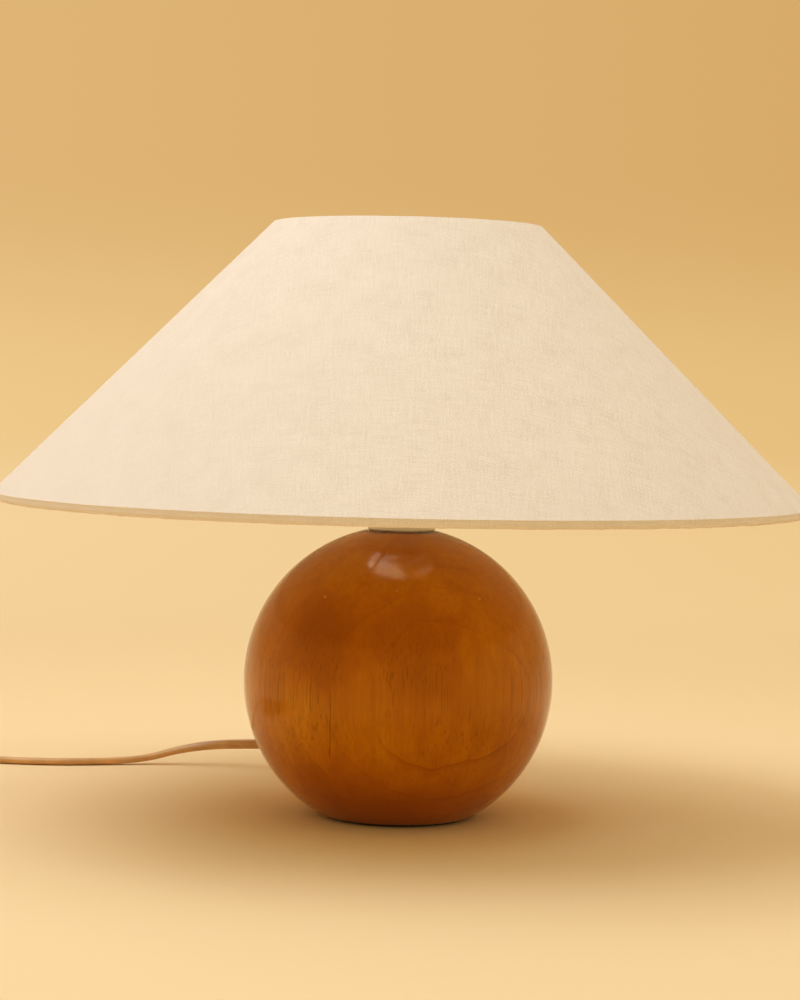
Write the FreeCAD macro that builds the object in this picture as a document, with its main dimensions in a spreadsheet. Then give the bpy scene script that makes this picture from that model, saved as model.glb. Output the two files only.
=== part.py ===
import FreeCAD, Part
import math
import os
import re
import Sketcher
from FreeCAD import Placement, Rotation, Vector

# A table lamp: a turned wooden ball, a lampholder, a wide cone shade, a bulb and a lead with switch and plug.
# Millimetres and degrees. +Z is up, the origin is the middle of the felt's underside, and the lead
# leaves at the back (+Y).

# Driving sizes. Radii are radii, and a name that ends in _z, _x or _y is a place.
sizes = {
    # wooden ball
    "ball_radius": 86.2,
    "ball_centre_z": 75.6,
    "felt_radius": 40.0,
    "felt_thickness": 1.5,
    "neck_flat_radius": 19.6,
    "ball_edge": 1.2,
    "recess_radius": 24.0,
    "recess_top_z": 42.0,
    # threaded tube through the ball
    "tube_radius": 5.0,
    "tube_bore": 4.0,
    "tube_below_nut": 5.0,
    "tube_in_cap": 7.0,
    "wood_clearance": 0.3,
    "thread_clearance": 0.06,
    "cut_margin": 1.0,
    "washer_radius": 11.0,
    "washer_thickness": 1.6,
    "nut_flats": 17.0,
    "nut_thickness": 5.0,
    # lead bush at the back
    "exit_z": 16.0,
    "bush_seat_y": 52.5,
    "bush_radius": 4.6,
    "bush_length": 14.0,
    "bush_flange_radius": 6.6,
    "bush_flange": 2.2,
    "bush_tail": 22.0,
    "bush_tail_radius": 3.6,
    "spotface_clearance": 0.6,
    # lampholder
    "cap_radius": 18.75,
    "cap_height": 24.0,
    "cap_floor": 2.2,
    "cap_edge": 1.2,
    "cap_cavity": 15.2,
    "cap_bore": 16.75,
    "ledge_height": 15.0,
    "boss_radius": 8.4,
    "boss_height": 8.0,
    "lock_screw_radius": 1.5,
    "lock_screw_height": 5.0,
    "insert_flange": 2.5,
    "insert_height": 11.0,
    "insert_radius": 13.6,
    "part_clearance": 0.15,
    "sleeve_wall_bore": 14.4,
    "sleeve_lip_bore": 13.95,
    "sleeve_lip": 2.0,
    "sleeve_flange_radius": 22.5,
    "sleeve_flange": 3.0,
    "sleeve_edge": 0.8,
    "barrel_radius": 19.5,
    "barrel_height": 26.0,
    "shell_sheet": 0.5,
    "shell_height": 21.5,
    "shell_base_radius": 10.6,
    "contact_x": 8.4,
    "shell_post_x": 11.8,
    "post_radius": 1.2,
    "contact_width": 4.0,
    "contact_sheet": 0.6,
    "contact_rise": 4.2,
    "terminal_width": 4.2,
    "terminal_depth": 6.0,
    "terminal_height": 5.5,
    "terminal_head_radius": 2.3,
    "terminal_head": 1.4,
    # shade ring on the lampholder
    "fitter_sheet": 1.5,
    "fitter_play": 0.8,
    "fitter_radius": 29.5,
    "ring_radius": 28.0,
    "ring_height": 8.5,
    "ring_edge": 1.2,
    "scallop_radius": 3.2,
    "scallop_depth": 1.4,
    "scallops": 12,
    # shade
    "wire_radius": 1.7,
    "bottom_wire_radius": 222.5,
    "bottom_wire_z": 177.4,
    "top_wire_radius": 73.7,
    "top_wire_rise": 148.8,
    "cloth": 0.6,
    "wrap_gap": 0.5,
    "hem_overhang": 1.6,
    "liner": 0.5,
    "glue_line": 0.3,
    "spokes": 3,
    "spoke_radius": 1.5,
    "spoke_knee": 170.0,
    "spoke_bend": 40.0,
    "weld_gap": 0.1,
    # bulb
    "bulb_cap_radius": 13.15,
    "bulb_cap_sheet": 0.35,
    "bulb_cap_slope": 1.6,
    "bulb_cap_height": 19.0,
    "bulb_clearance": 0.08,
    "contact_gap": 0.3,
    "bulb_tip_radius": 4.7,
    "bulb_tip": 0.9,
    "bulb_insulator": 3.6,
    "bulb_globe_radius": 30.0,
    "bulb_length": 105.0,
    "bulb_neck_radius": 14.6,
    "bulb_neck_rise": 3.2,
    "bulb_glass_wall": 0.8,
    "bulb_glass_hem": 4.8,
    "bulb_stem_radius": 2.4,
    "bulb_stem_top": 52.0,
    "stem_flare_drop": 2.0,
    "stem_flare_rise": 3.0,
    "stem_rim": 1.0,
    "filament_radius": 0.45,
    "filament_spread": 13.0,
    "filament_rise": 70.0,
    "filament_bow": 6.0,
    "support_radius": 0.3,
    "support_grip": 6.0,
    # lead
    "lead_radius": 3.0,
    "lead_clearance": 0.1,
    "lead_bend": 12.0,
    "core_radius": 0.9,
    "core_bend": 1.8,
    "core_spread": 1.25,
    "coil_radius": 35.0,
    "coil_width": 15.0,
    "coil_height": 13.0,
    "coil_edge": 2.5,
    "coil_x": -297.0,
    "coil_y": -30.0,
    # switch on the lead
    "switch_x": -322.0,
    "switch_y": 61.0,
    "switch_length": 58.0,
    "switch_width": 26.0,
    "switch_end": 9.0,
    "switch_split_z": 8.5,
    "switch_top_z": 16.5,
    "switch_wall": 2.0,
    "switch_edge": 1.6,
    "window_length": 16.4,
    "window_width": 10.6,
    "rocker_clearance": 0.3,
    "rocker_pivot_z": 13.4,
    "rocker_horn": 3.7,
    "rocker_dip": 2.4,
    "rocker_drop": 2.6,
    "rocker_skirt": 1.0,
    "rocker_off": 9.0,
    "trunnion_radius": 1.2,
    "trunnion_clearance": 0.06,
    "cheek": 1.8,
    "cheek_depth": 5.6,
    "cheek_length": 8.0,
    "trunnion_reach": 1.4,
    "post_x": 8.0,
    "post_y": 19.5,
    "pillar_radius": 2.8,
    "screw_radius": 1.1,
    "screw_head_radius": 2.1,
    "screw_head": 1.3,
    "screw_length": 13.0,
    "clamp_y": 12.5,
    "clamp_x": 5.0,
    "clamp_size": 5.0,
    "clamp_height": 4.5,
    # plug
    "plug_x": -258.5,
    "plug_y": 30.0,
    "plug_width": 35.3,
    "plug_thickness": 13.7,
    "plug_depth": 36.0,
    "plug_back_width": 19.0,
    "plug_back_thickness": 11.5,
    "plug_waist": 14.0,
    "plug_taper": 1.0,
    "plug_corner": 5.0,
    "pin_radius": 2.0,
    "pin_pitch": 18.6,
    "pin_length": 19.0,
    "pin_core_radius": 1.5,
    "pin_cover": 10.0,
    "pin_cover_radius": 1.9,
    "plug_edge": 1.2,
    "sleeve_length": 16.0,
    "sleeve_radius": 4.6,
    "sleeve_tip_radius": 3.5,
}

# Places and sizes that follow from the driving ones, each from those above it.
places = {
    "neck_z": "ball_centre_z + sqrt(ball_radius^2 - neck_flat_radius^2)",
    "foot_radius": "sqrt(ball_radius^2 - (ball_centre_z - felt_thickness)^2)",
    "bore_radius": "tube_radius + wood_clearance",
    "washer_z": "recess_top_z - washer_thickness",
    "nut_z": "washer_z - nut_thickness",
    "tube_bottom_z": "nut_z - tube_below_nut",
    "tube_top_z": "neck_z + tube_in_cap",
    "nut_bore": "tube_radius + thread_clearance",
    "bush_bore": "lead_radius + lead_clearance",
    "bush_out_y": "bush_seat_y + bush_flange",
    "exit_y": "bush_out_y + bush_tail",
    "cap_top_z": "neck_z + cap_height",
    "floor_z": "neck_z + cap_floor",
    "ledge_z": "neck_z + ledge_height",
    "boss_z": "neck_z + boss_height",
    "lock_screw_z": "neck_z + lock_screw_height",
    "insert_flange_z": "ledge_z + insert_flange",
    "insert_z": "ledge_z + insert_height",
    "spigot_radius": "cap_bore - part_clearance",
    "flange_z": "cap_top_z + sleeve_flange",
    "holder_z": "flange_z + barrel_height",
    "shell_bore": "bulb_cap_radius + bulb_clearance",
    "shell_radius": "shell_bore + shell_sheet",
    "contact_z": "insert_z + contact_rise",
    "terminal_z": "ledge_z - terminal_height",
    "core_z": "terminal_z + terminal_height / 2",
    "fitter_bore": "barrel_radius + fitter_play",
    "fitter_z": "flange_z + fitter_sheet",
    "ring_bore": "barrel_radius + thread_clearance",
    "ring_z": "fitter_z + ring_height",
    "wrap_inner": "wire_radius + wrap_gap",
    "wrap_outer": "wrap_inner + cloth",
    "wire_run": "bottom_wire_radius - top_wire_radius",
    "wall_length": "sqrt(wire_run^2 + top_wire_rise^2)",
    "out_r": "top_wire_rise / wall_length",
    "out_z": "wire_run / wall_length",
    "top_wire_z": "bottom_wire_z + top_wire_rise",
    "tip_z": "contact_z + contact_gap",
    "insulator_z": "tip_z + bulb_tip",
    "bulb_cap_z": "insulator_z + bulb_insulator",
    "bulb_rim_z": "bulb_cap_z + bulb_cap_height",
    "bulb_neck_z": "bulb_rim_z + bulb_neck_rise",
    "globe_z": "tip_z + bulb_length - bulb_globe_radius",
    "glass_mouth": "bulb_cap_radius - bulb_cap_sheet - glue_line",
    "glass_hem_z": "bulb_rim_z - bulb_glass_hem",
    "stem_rim_radius": "glass_mouth - bulb_glass_wall - glue_line",
    "stem_z": "tip_z + bulb_stem_top",
    "filament_z": "tip_z + filament_rise",
    "lead_top_z": "boss_z + cap_edge / 2",
    "switch_back": "switch_length / 2",
    "switch_side": "switch_width / 2",
    "rocker_length": "window_length / 2 - rocker_clearance",
    "rocker_side": "window_width / 2 - rocker_clearance",
    "plug_z": "plug_thickness / 2",
    "plug_front_y": "plug_y + plug_depth",
}

# The free lead's route: from the bush to the switch, on to the coil, and from the coil to the plug.
lamp_route = [
    (0.0, 76.7, 16.0),
    (0.0, 98.0, 16.0),
    (-7.0, 121.0, 16.4),
    (-25.0, 142.0, 16.6),
    (-54.0, 157.0, 15.4),
    (-85.0, 165.0, 13.8),
    (-114.0, 167.5, 12.6),
    (-137.0, 166.5, 9.0),
    (-156.0, 163.5, 4.4),
    (-176.0, 158.0, 3.1),
    (-200.0, 151.5, 3.2),
    (-224.0, 149.5, 3.1),
    (-248.0, 152.5, 3.1),
    (-276.0, 153.0, 3.8),
    (-302.0, 141.0, 5.6),
    (-318.0, 117.0, 7.6),
    (-322.0, 90.0, 8.5),
]
coil_route = [
    (-322.0, 32.0, 8.5),
    (-322.6, 19.0, 8.1),
    (-326.0, 4.0, 6.4),
    (-332.0, -10.0, 4.4),
    (-336.0, -23.0, 3.4),
]
plug_route = [
    (-256.5, -22.0, 9.3),
    (-256.7, -10.0, 8.8),
    (-257.9, 2.0, 7.5),
    (-258.5, 13.6, 6.85),
]
bend_share = 0.45

# Two lengths nearer than this count as the same.
hair = 0.01

doc = FreeCAD.newDocument("ball_lamp")
sheet = doc.addObject("Spreadsheet::Sheet", "Sizes")
for row, (alias, amount) in enumerate(sizes.items(), start=1):
    cell = f"A{row}"
    sheet.set(cell, str(amount))
    sheet.setAlias(cell, alias)
doc.recompute()
table = doc.addObject("App::VarSet", "Places")
probe = doc.addObject("App::VarSet", "Probe")
probe.addProperty("App::PropertyFloat", "amount")


def formula(text):
    """The same formula with each name bound to the sheet or to the table of places."""

    def bind(match):
        word = match.group(0)
        if word in sizes:
            return "Sizes." + word
        return "Places." + word if word in places else word

    return re.sub(r"[A-Za-z_][A-Za-z_0-9]*", bind, text)


def number(text):
    """What a formula comes to now."""
    probe.setExpression("amount", formula(text))
    probe.recompute()
    return probe.amount


for place, text in places.items():
    table.addProperty("App::PropertyFloat", place)
    table.setExpression(place, formula(text))
    table.recompute()

# The sub-parts that are written out, in the order in which they are made.
parts = []


def keep(thing, label):
    thing.Label = label
    parts.append(thing)
    return thing


def new_body(label, at=None, tilt=None):
    """A body, placed at three formulas and turned about X by one more."""
    body = keep(doc.addObject("PartDesign::Body", "Body_" + label), label)
    for axis, text in zip("xyz", at or ()):
        body.setExpression(f"Placement.Base.{axis}", formula(text))
    if tilt:
        body.Placement.Rotation = Rotation(Vector(1, 0, 0), 1)
        body.setExpression("Placement.Rotation.Angle", formula(tilt))
    return body


def new_sketch(body, name, plane="XZ", offset=None):
    sketch = body.newObject("Sketcher::SketchObject", name)
    origin = next(f for f in body.Origin.OriginFeatures if f.Role == plane + "_Plane")
    sketch.AttachmentSupport = [(origin, "")]
    sketch.MapMode = "FlatFace"
    if offset:
        sketch.setExpression("AttachmentOffset.Base.z", formula(offset))
        sketch.recompute()
    return sketch


def hold(sketch, geometry, spot, x, y):
    """Ties a point of a sketch to its two formulas. One that starts with ~ is a first guess only."""
    for kind, text, axis in (("DistanceX", x, -2), ("DistanceY", y, -1)):
        if text == "0":
            sketch.addConstraint(Sketcher.Constraint("PointOnObject", geometry, spot, axis))
        elif not text.startswith("~"):
            index = sketch.addConstraint(
                Sketcher.Constraint(kind, -1, 1, geometry, spot, number(text))
            )
            sketch.setExpression(f"Constraints[{index}]", formula(text))


def radius_of(sketch, geometry, text):
    index = sketch.addConstraint(Sketcher.Constraint("Radius", geometry, number(text)))
    sketch.setExpression(f"Constraints[{index}]", formula(text))


def add_circle(sketch, x, y, radius):
    centre = Vector(number(x), number(y), 0)
    index = sketch.addGeometry(Part.Circle(centre, Vector(0, 0, 1), number(radius)))
    hold(sketch, index, 3, x, y)
    radius_of(sketch, index, radius)


def arc(x, y, radius, turn="left"):
    """An edge of an outline that bends round the point x, y: left is against the clock."""
    return {"x": x, "y": y, "radius": radius, "turn": turn}


def add_outline(sketch, corners):
    """A closed outline through corners (x, y), each joined to the next by a line, or by the arc it names."""
    spots = [Vector(number(c[0].lstrip("~")), number(c[1].lstrip("~")), 0) for c in corners]
    ends = []
    for index, corner in enumerate(corners):
        here, there = spots[index], spots[(index + 1) % len(spots)]
        if len(corner) == 2:
            edge = sketch.addGeometry(Part.LineSegment(here, there))
            ends.append((edge, 1, 2))
            continue
        bend = corner[2]
        centre = Vector(number(bend["x"]), number(bend["y"]), 0)
        circle = Part.Circle(centre, Vector(0, 0, 1), number(bend["radius"]))
        first, last = (math.atan2(p.y - centre.y, p.x - centre.x) for p in (here, there))
        if bend["turn"] == "left":
            edge = sketch.addGeometry(Part.ArcOfCircle(circle, first, last))
            ends.append((edge, 1, 2))
        else:
            edge = sketch.addGeometry(Part.ArcOfCircle(circle, last, first))
            ends.append((edge, 2, 1))
        hold(sketch, edge, 3, bend["x"], bend["y"])
        radius_of(sketch, edge, bend["radius"])
    for index, (edge, start, _) in enumerate(ends):
        before, _, end = ends[index - 1]
        sketch.addConstraint(Sketcher.Constraint("Coincident", before, end, edge, start))
        hold(sketch, edge, start, *corners[index][:2])


def spin(body, sketch):
    turned = body.newObject("PartDesign::Revolution", sketch.Name + "_turned")
    turned.Profile = sketch
    turned.ReferenceAxis = (sketch, ["V_Axis"])
    turned.Angle = 360
    return turned


def turned_body(label, corners):
    """A turned piece: the outline's x is the radius and its y is the height."""
    body = new_body(label)
    sketch = new_sketch(body, label + "_outline")
    add_outline(sketch, corners)
    spin(body, sketch)
    return body


def pad(body, sketch, length, middle=False, down=False):
    feature = body.newObject("PartDesign::Pad", sketch.Name + "_pad")
    feature.Profile = sketch
    feature.setExpression("Length", formula(length))
    feature.Midplane = middle
    feature.Reversed = down
    return feature


def pocket(body, sketch, depth=None, middle=False, back=False):
    """Cuts a sketch into its body, and checks that the cut took something away."""
    doc.recompute()
    before = body.Shape.Volume
    feature = body.newObject("PartDesign::Pocket", sketch.Name + "_cut")
    feature.Profile = sketch
    feature.Midplane = middle
    feature.Reversed = back
    if depth:
        feature.setExpression("Length", formula(depth))
    else:
        feature.Type = "ThroughAll"
    doc.recompute()
    if body.Shape.Volume > before - hair:
        raise RuntimeError(f"{feature.Name} cuts nothing")
    return feature


def round_edges(body, kind, size, chosen):
    """A fillet or chamfer on the edges of the body's last feature that chosen() picks."""
    doc.recompute()
    last = body.Tip
    names = [f"Edge{i}" for i, edge in enumerate(last.Shape.Edges, 1) if chosen(edge)]
    if not names:
        raise RuntimeError(f"{body.Label} has no such edge")
    feature = body.newObject("PartDesign::" + kind, f"{body.Name}_{kind}")
    feature.Base = (last, names)
    feature.setExpression("Radius" if kind == "Fillet" else "Size", formula(size))
    return feature


def is_circle(edge, radii):
    return isinstance(edge.Curve, Part.Circle) and any(abs(edge.Curve.Radius - r) < hair for r in radii)


def repeat(body, feature, count, role="Z_Axis"):
    """The feature, count times round an axis of its body."""
    axis = next(f for f in body.Origin.OriginFeatures if f.Role == role)
    pattern = body.newObject("PartDesign::PolarPattern", feature.Name + "_round")
    pattern.Originals = [feature]
    pattern.Axis = (axis, [""])
    pattern.Angle = 360
    pattern.setExpression("Occurrences", formula(count))
    body.Tip = pattern
    return pattern


def box(corner, extent):
    """A plain block from its lowest corner, both given as formulas."""
    block = doc.addObject("Part::Box", "Block")
    for axis, text in zip("xyz", corner):
        block.setExpression(f"Placement.Base.{axis}", formula(text))
    for side, text in zip(("Length", "Width", "Height"), extent):
        block.setExpression(side, formula(text))
    return block


def rod(foot, radius, length, direction=Vector(0, 0, 1)):
    """A plain cylinder from the middle of its foot."""
    bar = doc.addObject("Part::Cylinder", "Rod")
    bar.Placement.Rotation = Rotation(Vector(0, 0, 1), direction)
    for axis, text in zip("xyz", foot):
        bar.setExpression(f"Placement.Base.{axis}", formula(text))
    bar.setExpression("Radius", formula(radius))
    bar.setExpression("Height", formula(length))
    return bar


def ball(centre, radius):
    """A plain ball about a point given as formulas."""
    sphere = doc.addObject("Part::Sphere", "Ball")
    for axis, text in zip("xyz", centre):
        sphere.setExpression(f"Placement.Base.{axis}", formula(text))
    sphere.setExpression("Radius", formula(radius))
    return sphere


def fuse(pieces, label=None):
    union = doc.addObject("Part::MultiFuse", "Union")
    union.Shapes = pieces
    return keep(union, label) if label else union


def group(pieces, label):
    """Separate solids that are kept in one node."""
    bundle = doc.addObject("Part::Compound", "Group")
    bundle.Links = pieces
    return keep(bundle, label)


def cut(base, tool, label=None):
    difference = doc.addObject("Part::Cut", "Difference")
    difference.Base = base
    difference.Tool = tool
    return keep(difference, label) if label else difference


def tube_along(points, radius, bend=None):
    """A round solid along straight runs joined by tangent arcs, its length, and the arcs' radii."""
    points = [Vector(*p) for p in points]
    edges, radii, start = [], [], points[0]
    for before, corner, after in zip(points, points[1:], points[2:]):
        to_next = (after - corner).normalize()
        to_last = (before - corner).normalize()
        half_turn = (math.pi - to_next.getAngle(to_last)) / 2
        shorter = min((after - corner).Length, (before - corner).Length)
        arc_radius = bend or bend_share * shorter / math.tan(half_turn)
        reach = arc_radius * math.tan(half_turn)
        entry, leave = corner + to_last * reach, corner + to_next * reach
        middle = (to_next + to_last).normalize()
        crown = corner + middle * (arc_radius / math.cos(half_turn) - arc_radius)
        edges.append(Part.LineSegment(start, entry).toShape())
        edges.append(Part.Arc(entry, crown, leave).toShape())
        radii.append(arc_radius)
        start = leave
    edges.append(Part.LineSegment(start, points[-1]).toShape())
    path = Part.Wire(edges)
    section = Part.Wire(Part.Circle(points[0], points[1] - points[0], radius).toShape())
    solid = path.makePipeShell([section], True, False)
    expected = math.pi * radius**2 * path.Length
    if abs(solid.Volume / expected - 1) > 0.01:
        raise RuntimeError(f"tube volume {solid.Volume:.0f}, and {expected:.0f} expected")
    return solid, path.Length, radii


def place_shape(label, shape):
    piece = doc.addObject("Part::Feature", "Solid_" + label)
    piece.Shape = shape
    piece.Placement = Placement()
    return keep(piece, label)


# Ball and what goes through it
def make_ball():
    base = turned_body(
        "ball_base",
        [
            ("recess_radius", "felt_thickness"),
            ("~foot_radius", "felt_thickness", arc("0", "ball_centre_z", "ball_radius")),
            ("neck_flat_radius", "~neck_z"),
            ("bore_radius", "neck_z"),
            ("bore_radius", "recess_top_z"),
            ("recess_radius", "recess_top_z"),
        ],
    )
    rims = (number("foot_radius"), number("neck_flat_radius"))
    round_edges(base, "Fillet", "ball_edge", lambda edge: is_circle(edge, rims))
    lead_hole = new_sketch(base, "lead_hole")
    add_circle(lead_hole, "0", "exit_z", "bush_radius + part_clearance")
    pocket(base, lead_hole)
    spotface = new_sketch(base, "spotface", offset="-bush_seat_y")
    add_circle(spotface, "0", "exit_z", "bush_flange_radius + spotface_clearance")
    pocket(base, spotface)


def make_ball_fittings():
    turned_body(
        "felt_pad",
        [
            ("0", "0"),
            ("felt_radius", "0"),
            ("felt_radius", "felt_thickness"),
            ("0", "felt_thickness"),
        ],
    )
    turned_body(
        "threaded_tube",
        [
            ("tube_bore", "tube_bottom_z"),
            ("tube_radius", "tube_bottom_z"),
            ("tube_radius", "tube_top_z"),
            ("tube_bore", "tube_top_z"),
        ],
    )
    turned_body(
        "tube_washer",
        [
            ("nut_bore", "washer_z"),
            ("washer_radius", "washer_z"),
            ("washer_radius", "recess_top_z"),
            ("nut_bore", "recess_top_z"),
        ],
    )
    nut = new_body("tube_nut")
    hexagon = new_sketch(nut, "nut_hexagon", "XY", "nut_z")
    corner = "nut_flats / sqrt(3)"
    corners = [
        (f"{corner} * cos({60 * i} deg)", f"{corner} * sin({60 * i} deg)") for i in range(6)
    ]
    add_outline(hexagon, [(x, "0") if i % 3 == 0 else (x, y) for i, (x, y) in enumerate(corners)])
    pad(nut, hexagon, "nut_thickness")
    bore = new_sketch(nut, "nut_bore_circle", "XY", "nut_z")
    add_circle(bore, "0", "0", "nut_bore")
    pocket(nut, bore, back=True)


def make_bush():
    """The lead's bush is turned about its own axis, then laid along +Y in the hole."""
    bush = new_body("cord_bush", at=("0", "bush_seat_y", "exit_z"))
    bush.Placement.Rotation = Rotation(Vector(1, 0, 0), -90)
    sketch = new_sketch(bush, "bush_outline")
    add_outline(
        sketch,
        [
            ("bush_bore", "-bush_length"),
            ("bush_radius", "-bush_length"),
            ("bush_radius", "0"),
            ("bush_flange_radius", "0"),
            ("bush_flange_radius", "bush_flange"),
            ("bush_radius", "bush_flange"),
            ("bush_tail_radius", "bush_flange + bush_tail"),
            ("bush_bore", "bush_flange + bush_tail"),
        ],
    )
    spin(bush, sketch)


# Lampholder
def make_holder():
    cap = turned_body(
        "holder_cap",
        [
            ("nut_bore", "neck_z"),
            (
                "cap_radius - cap_edge",
                "~neck_z",
                arc("cap_radius - cap_edge", "neck_z + cap_edge", "cap_edge"),
            ),
            ("~cap_radius", "neck_z + cap_edge"),
            ("cap_radius", "cap_top_z"),
            ("cap_bore", "cap_top_z"),
            ("cap_bore", "ledge_z"),
            ("cap_cavity", "ledge_z"),
            ("cap_cavity", "floor_z"),
            ("boss_radius", "floor_z"),
            ("boss_radius", "boss_z"),
            ("nut_bore", "boss_z"),
        ],
    )
    screw_hole = new_sketch(cap, "lock_screw_hole", "YZ")
    add_circle(screw_hole, "0", "lock_screw_z", "lock_screw_radius + thread_clearance")
    pocket(cap, screw_hole, "boss_radius + cut_margin", back=True)
    screw = rod(
        ("tube_radius + thread_clearance", "0", "lock_screw_z"),
        "lock_screw_radius",
        "boss_radius - tube_radius",
        Vector(1, 0, 0),
    )
    keep(screw, "holder_lock_screw")
    insert = turned_body(
        "holder_insert",
        [
            ("0", "ledge_z"),
            ("spigot_radius", "ledge_z"),
            ("spigot_radius", "insert_flange_z"),
            ("insert_radius", "insert_flange_z"),
            ("insert_radius", "insert_z"),
            ("0", "insert_z"),
        ],
    )
    rivet_holes = new_sketch(insert, "rivet_holes", "XY", "ledge_z")
    add_circle(rivet_holes, "contact_x", "0", "post_radius + thread_clearance")
    add_circle(rivet_holes, "-shell_post_x", "0", "post_radius + thread_clearance")
    pocket(insert, rivet_holes, back=True)
    sleeve = turned_body(
        "holder_sleeve",
        [
            ("sleeve_wall_bore", "insert_flange_z"),
            ("spigot_radius", "insert_flange_z"),
            ("spigot_radius", "cap_top_z"),
            ("sleeve_flange_radius", "cap_top_z"),
            ("sleeve_flange_radius", "flange_z"),
            ("barrel_radius", "flange_z"),
            ("barrel_radius", "holder_z"),
            ("sleeve_lip_bore", "holder_z"),
            ("sleeve_lip_bore", "holder_z - sleeve_lip"),
            ("sleeve_wall_bore", "holder_z - sleeve_lip"),
        ],
    )
    outer_rim = number("sleeve_flange_radius")
    round_edges(
        sleeve,
        "Fillet",
        "sleeve_edge",
        lambda e: e.Curve.TypeId == "Part::GeomCircle" and abs(e.Curve.Radius - outer_rim) < hair,
    )


def make_contacts():
    turned_body(
        "screw_shell",
        [
            ("shell_base_radius", "insert_z"),
            ("shell_radius", "insert_z"),
            ("shell_radius", "insert_z + shell_height"),
            ("shell_bore", "insert_z + shell_height"),
            ("shell_bore", "insert_z + shell_sheet"),
            ("shell_base_radius", "insert_z + shell_sheet"),
        ],
    )
    contact = new_body("centre_contact", at=("0", "0", "insert_z"))
    strip = new_sketch(contact, "contact_side")
    sheet_under = "contact_rise - contact_sheet"
    add_outline(
        strip,
        [
            ("contact_x - contact_width / 2", "0"),
            ("contact_x + contact_width / 3", "0"),
            ("contact_x + contact_width / 3", "contact_sheet"),
            ("contact_x - contact_width / 2", "contact_sheet"),
            ("contact_width / 2", "contact_rise"),
            ("-contact_width / 2", "contact_rise"),
            ("-contact_width / 2", sheet_under),
            ("contact_width / 2 - contact_sheet / 2", sheet_under),
        ],
    )
    pad(contact, strip, "contact_width", middle=True)
    terminals, screws, rivets = [], [], []
    for x in ("contact_x", "-shell_post_x"):
        block = box(
            (f"{x} - terminal_width / 2", "-terminal_depth / 2", "terminal_z"),
            ("terminal_width", "terminal_depth", "terminal_height"),
        )
        terminals.append(block)
        head = rod(
            (x, "-terminal_depth / 2 - terminal_head", "core_z"),
            "terminal_head_radius",
            "terminal_head",
            Vector(0, 1, 0),
        )
        screws.append(head)
        rivets.append(rod((x, "0", "ledge_z"), "post_radius", "insert_height"))
    group(terminals, "terminal_blocks")
    group(screws, "terminal_screws")
    group(rivets, "contact_rivets")


def make_shade_ring():
    ring = turned_body(
        "shade_ring",
        [
            ("ring_bore", "fitter_z"),
            ("ring_radius", "fitter_z"),
            (
                "~ring_radius",
                "ring_z - ring_edge",
                arc("ring_radius - ring_edge", "ring_z - ring_edge", "ring_edge"),
            ),
            ("ring_radius - ring_edge", "~ring_z"),
            ("ring_bore", "ring_z"),
        ],
    )
    scallop = new_sketch(ring, "scallop", "XY", "fitter_z")
    add_circle(scallop, "ring_radius + scallop_radius - scallop_depth", "0", "scallop_radius")
    cut_scallop = pocket(ring, scallop, back=True)
    repeat(ring, cut_scallop, "scallops")


# Shade
def along_wall(wire, depth, run="0"):
    """A point of the wall's section: so deep outwards from a wire's middle, and so far up the slope."""
    radius = f"{wire}_wire_radius + out_r * ({depth}) - out_z * ({run})"
    height = f"{wire}_wire_z + out_z * ({depth}) + out_r * ({run})"
    return radius, height


def make_shade():
    for end in ("bottom", "top"):
        wire = new_body(end + "_ring")
        section = new_sketch(wire, end + "_wire_section")
        add_circle(section, f"{end}_wire_radius", f"{end}_wire_z", "wire_radius")
        spin(wire, section)
    inner, outer, over = "wrap_inner", "wrap_outer", "hem_overhang"
    cover = [along_wall("bottom", inner, "-" + over), along_wall("bottom", outer, "-" + over)]
    cover += [along_wall("top", outer, over), along_wall("top", inner, over)]
    turned_body("linen_cover", cover)
    liner_out = "wire_radius"
    liner_in = "wire_radius - liner"
    short = "2 * wire_radius"
    liner = [along_wall("bottom", liner_in, short), along_wall("bottom", liner_out, short)]
    liner += [along_wall("top", liner_out, "-" + short), along_wall("top", liner_in, "-" + short)]
    turned_body("shade_liner", liner)
    for end, sign, turn, back in (("bottom", "-", "right", "left"), ("top", "", "left", "right")):
        make_hem(end, sign, turn, back)


def make_hem(end, sign, turn, back):
    """Cloth that goes over the cover's edge in a crisp fold, then round the wire to the inside."""
    inner, outer, over = "wrap_inner", "wrap_outer", "hem_overhang"
    centre = (f"{end}_wire_radius", f"{end}_wire_z")
    span = f"({outer}^2 + {over}^2)"
    touch_depth = f"{outer} * ({outer}^2 - {over}^2) / {span}"
    touch_run = f"{sign}2 * {outer}^2 * {over} / {span}"
    touch, out_end, in_end, in_start = (
        along_wall(end, touch_depth, touch_run),
        along_wall(end, "-" + outer),
        along_wall(end, "-" + inner),
        along_wall(end, inner),
    )
    fold = along_wall(end, outer, sign + over)
    corner = along_wall(end, inner, sign + over)
    turned_body(
        end + "_hem",
        [
            fold,
            held_by(end, touch) + (arc(*centre, outer, turn),),
            (out_end[0], "~" + out_end[1]),
            (in_end[0], "~" + in_end[1], arc(*centre, inner, back)),
            (in_start[0], "~" + in_start[1]),
            corner,
        ],
    )


def held_by(end, spot):
    """The fold's touching point lies beside the bottom wire and above the top one, so one place holds it."""
    x, y = spot
    return ("~" + x, y) if end == "bottom" else (x, "~" + y)


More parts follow.
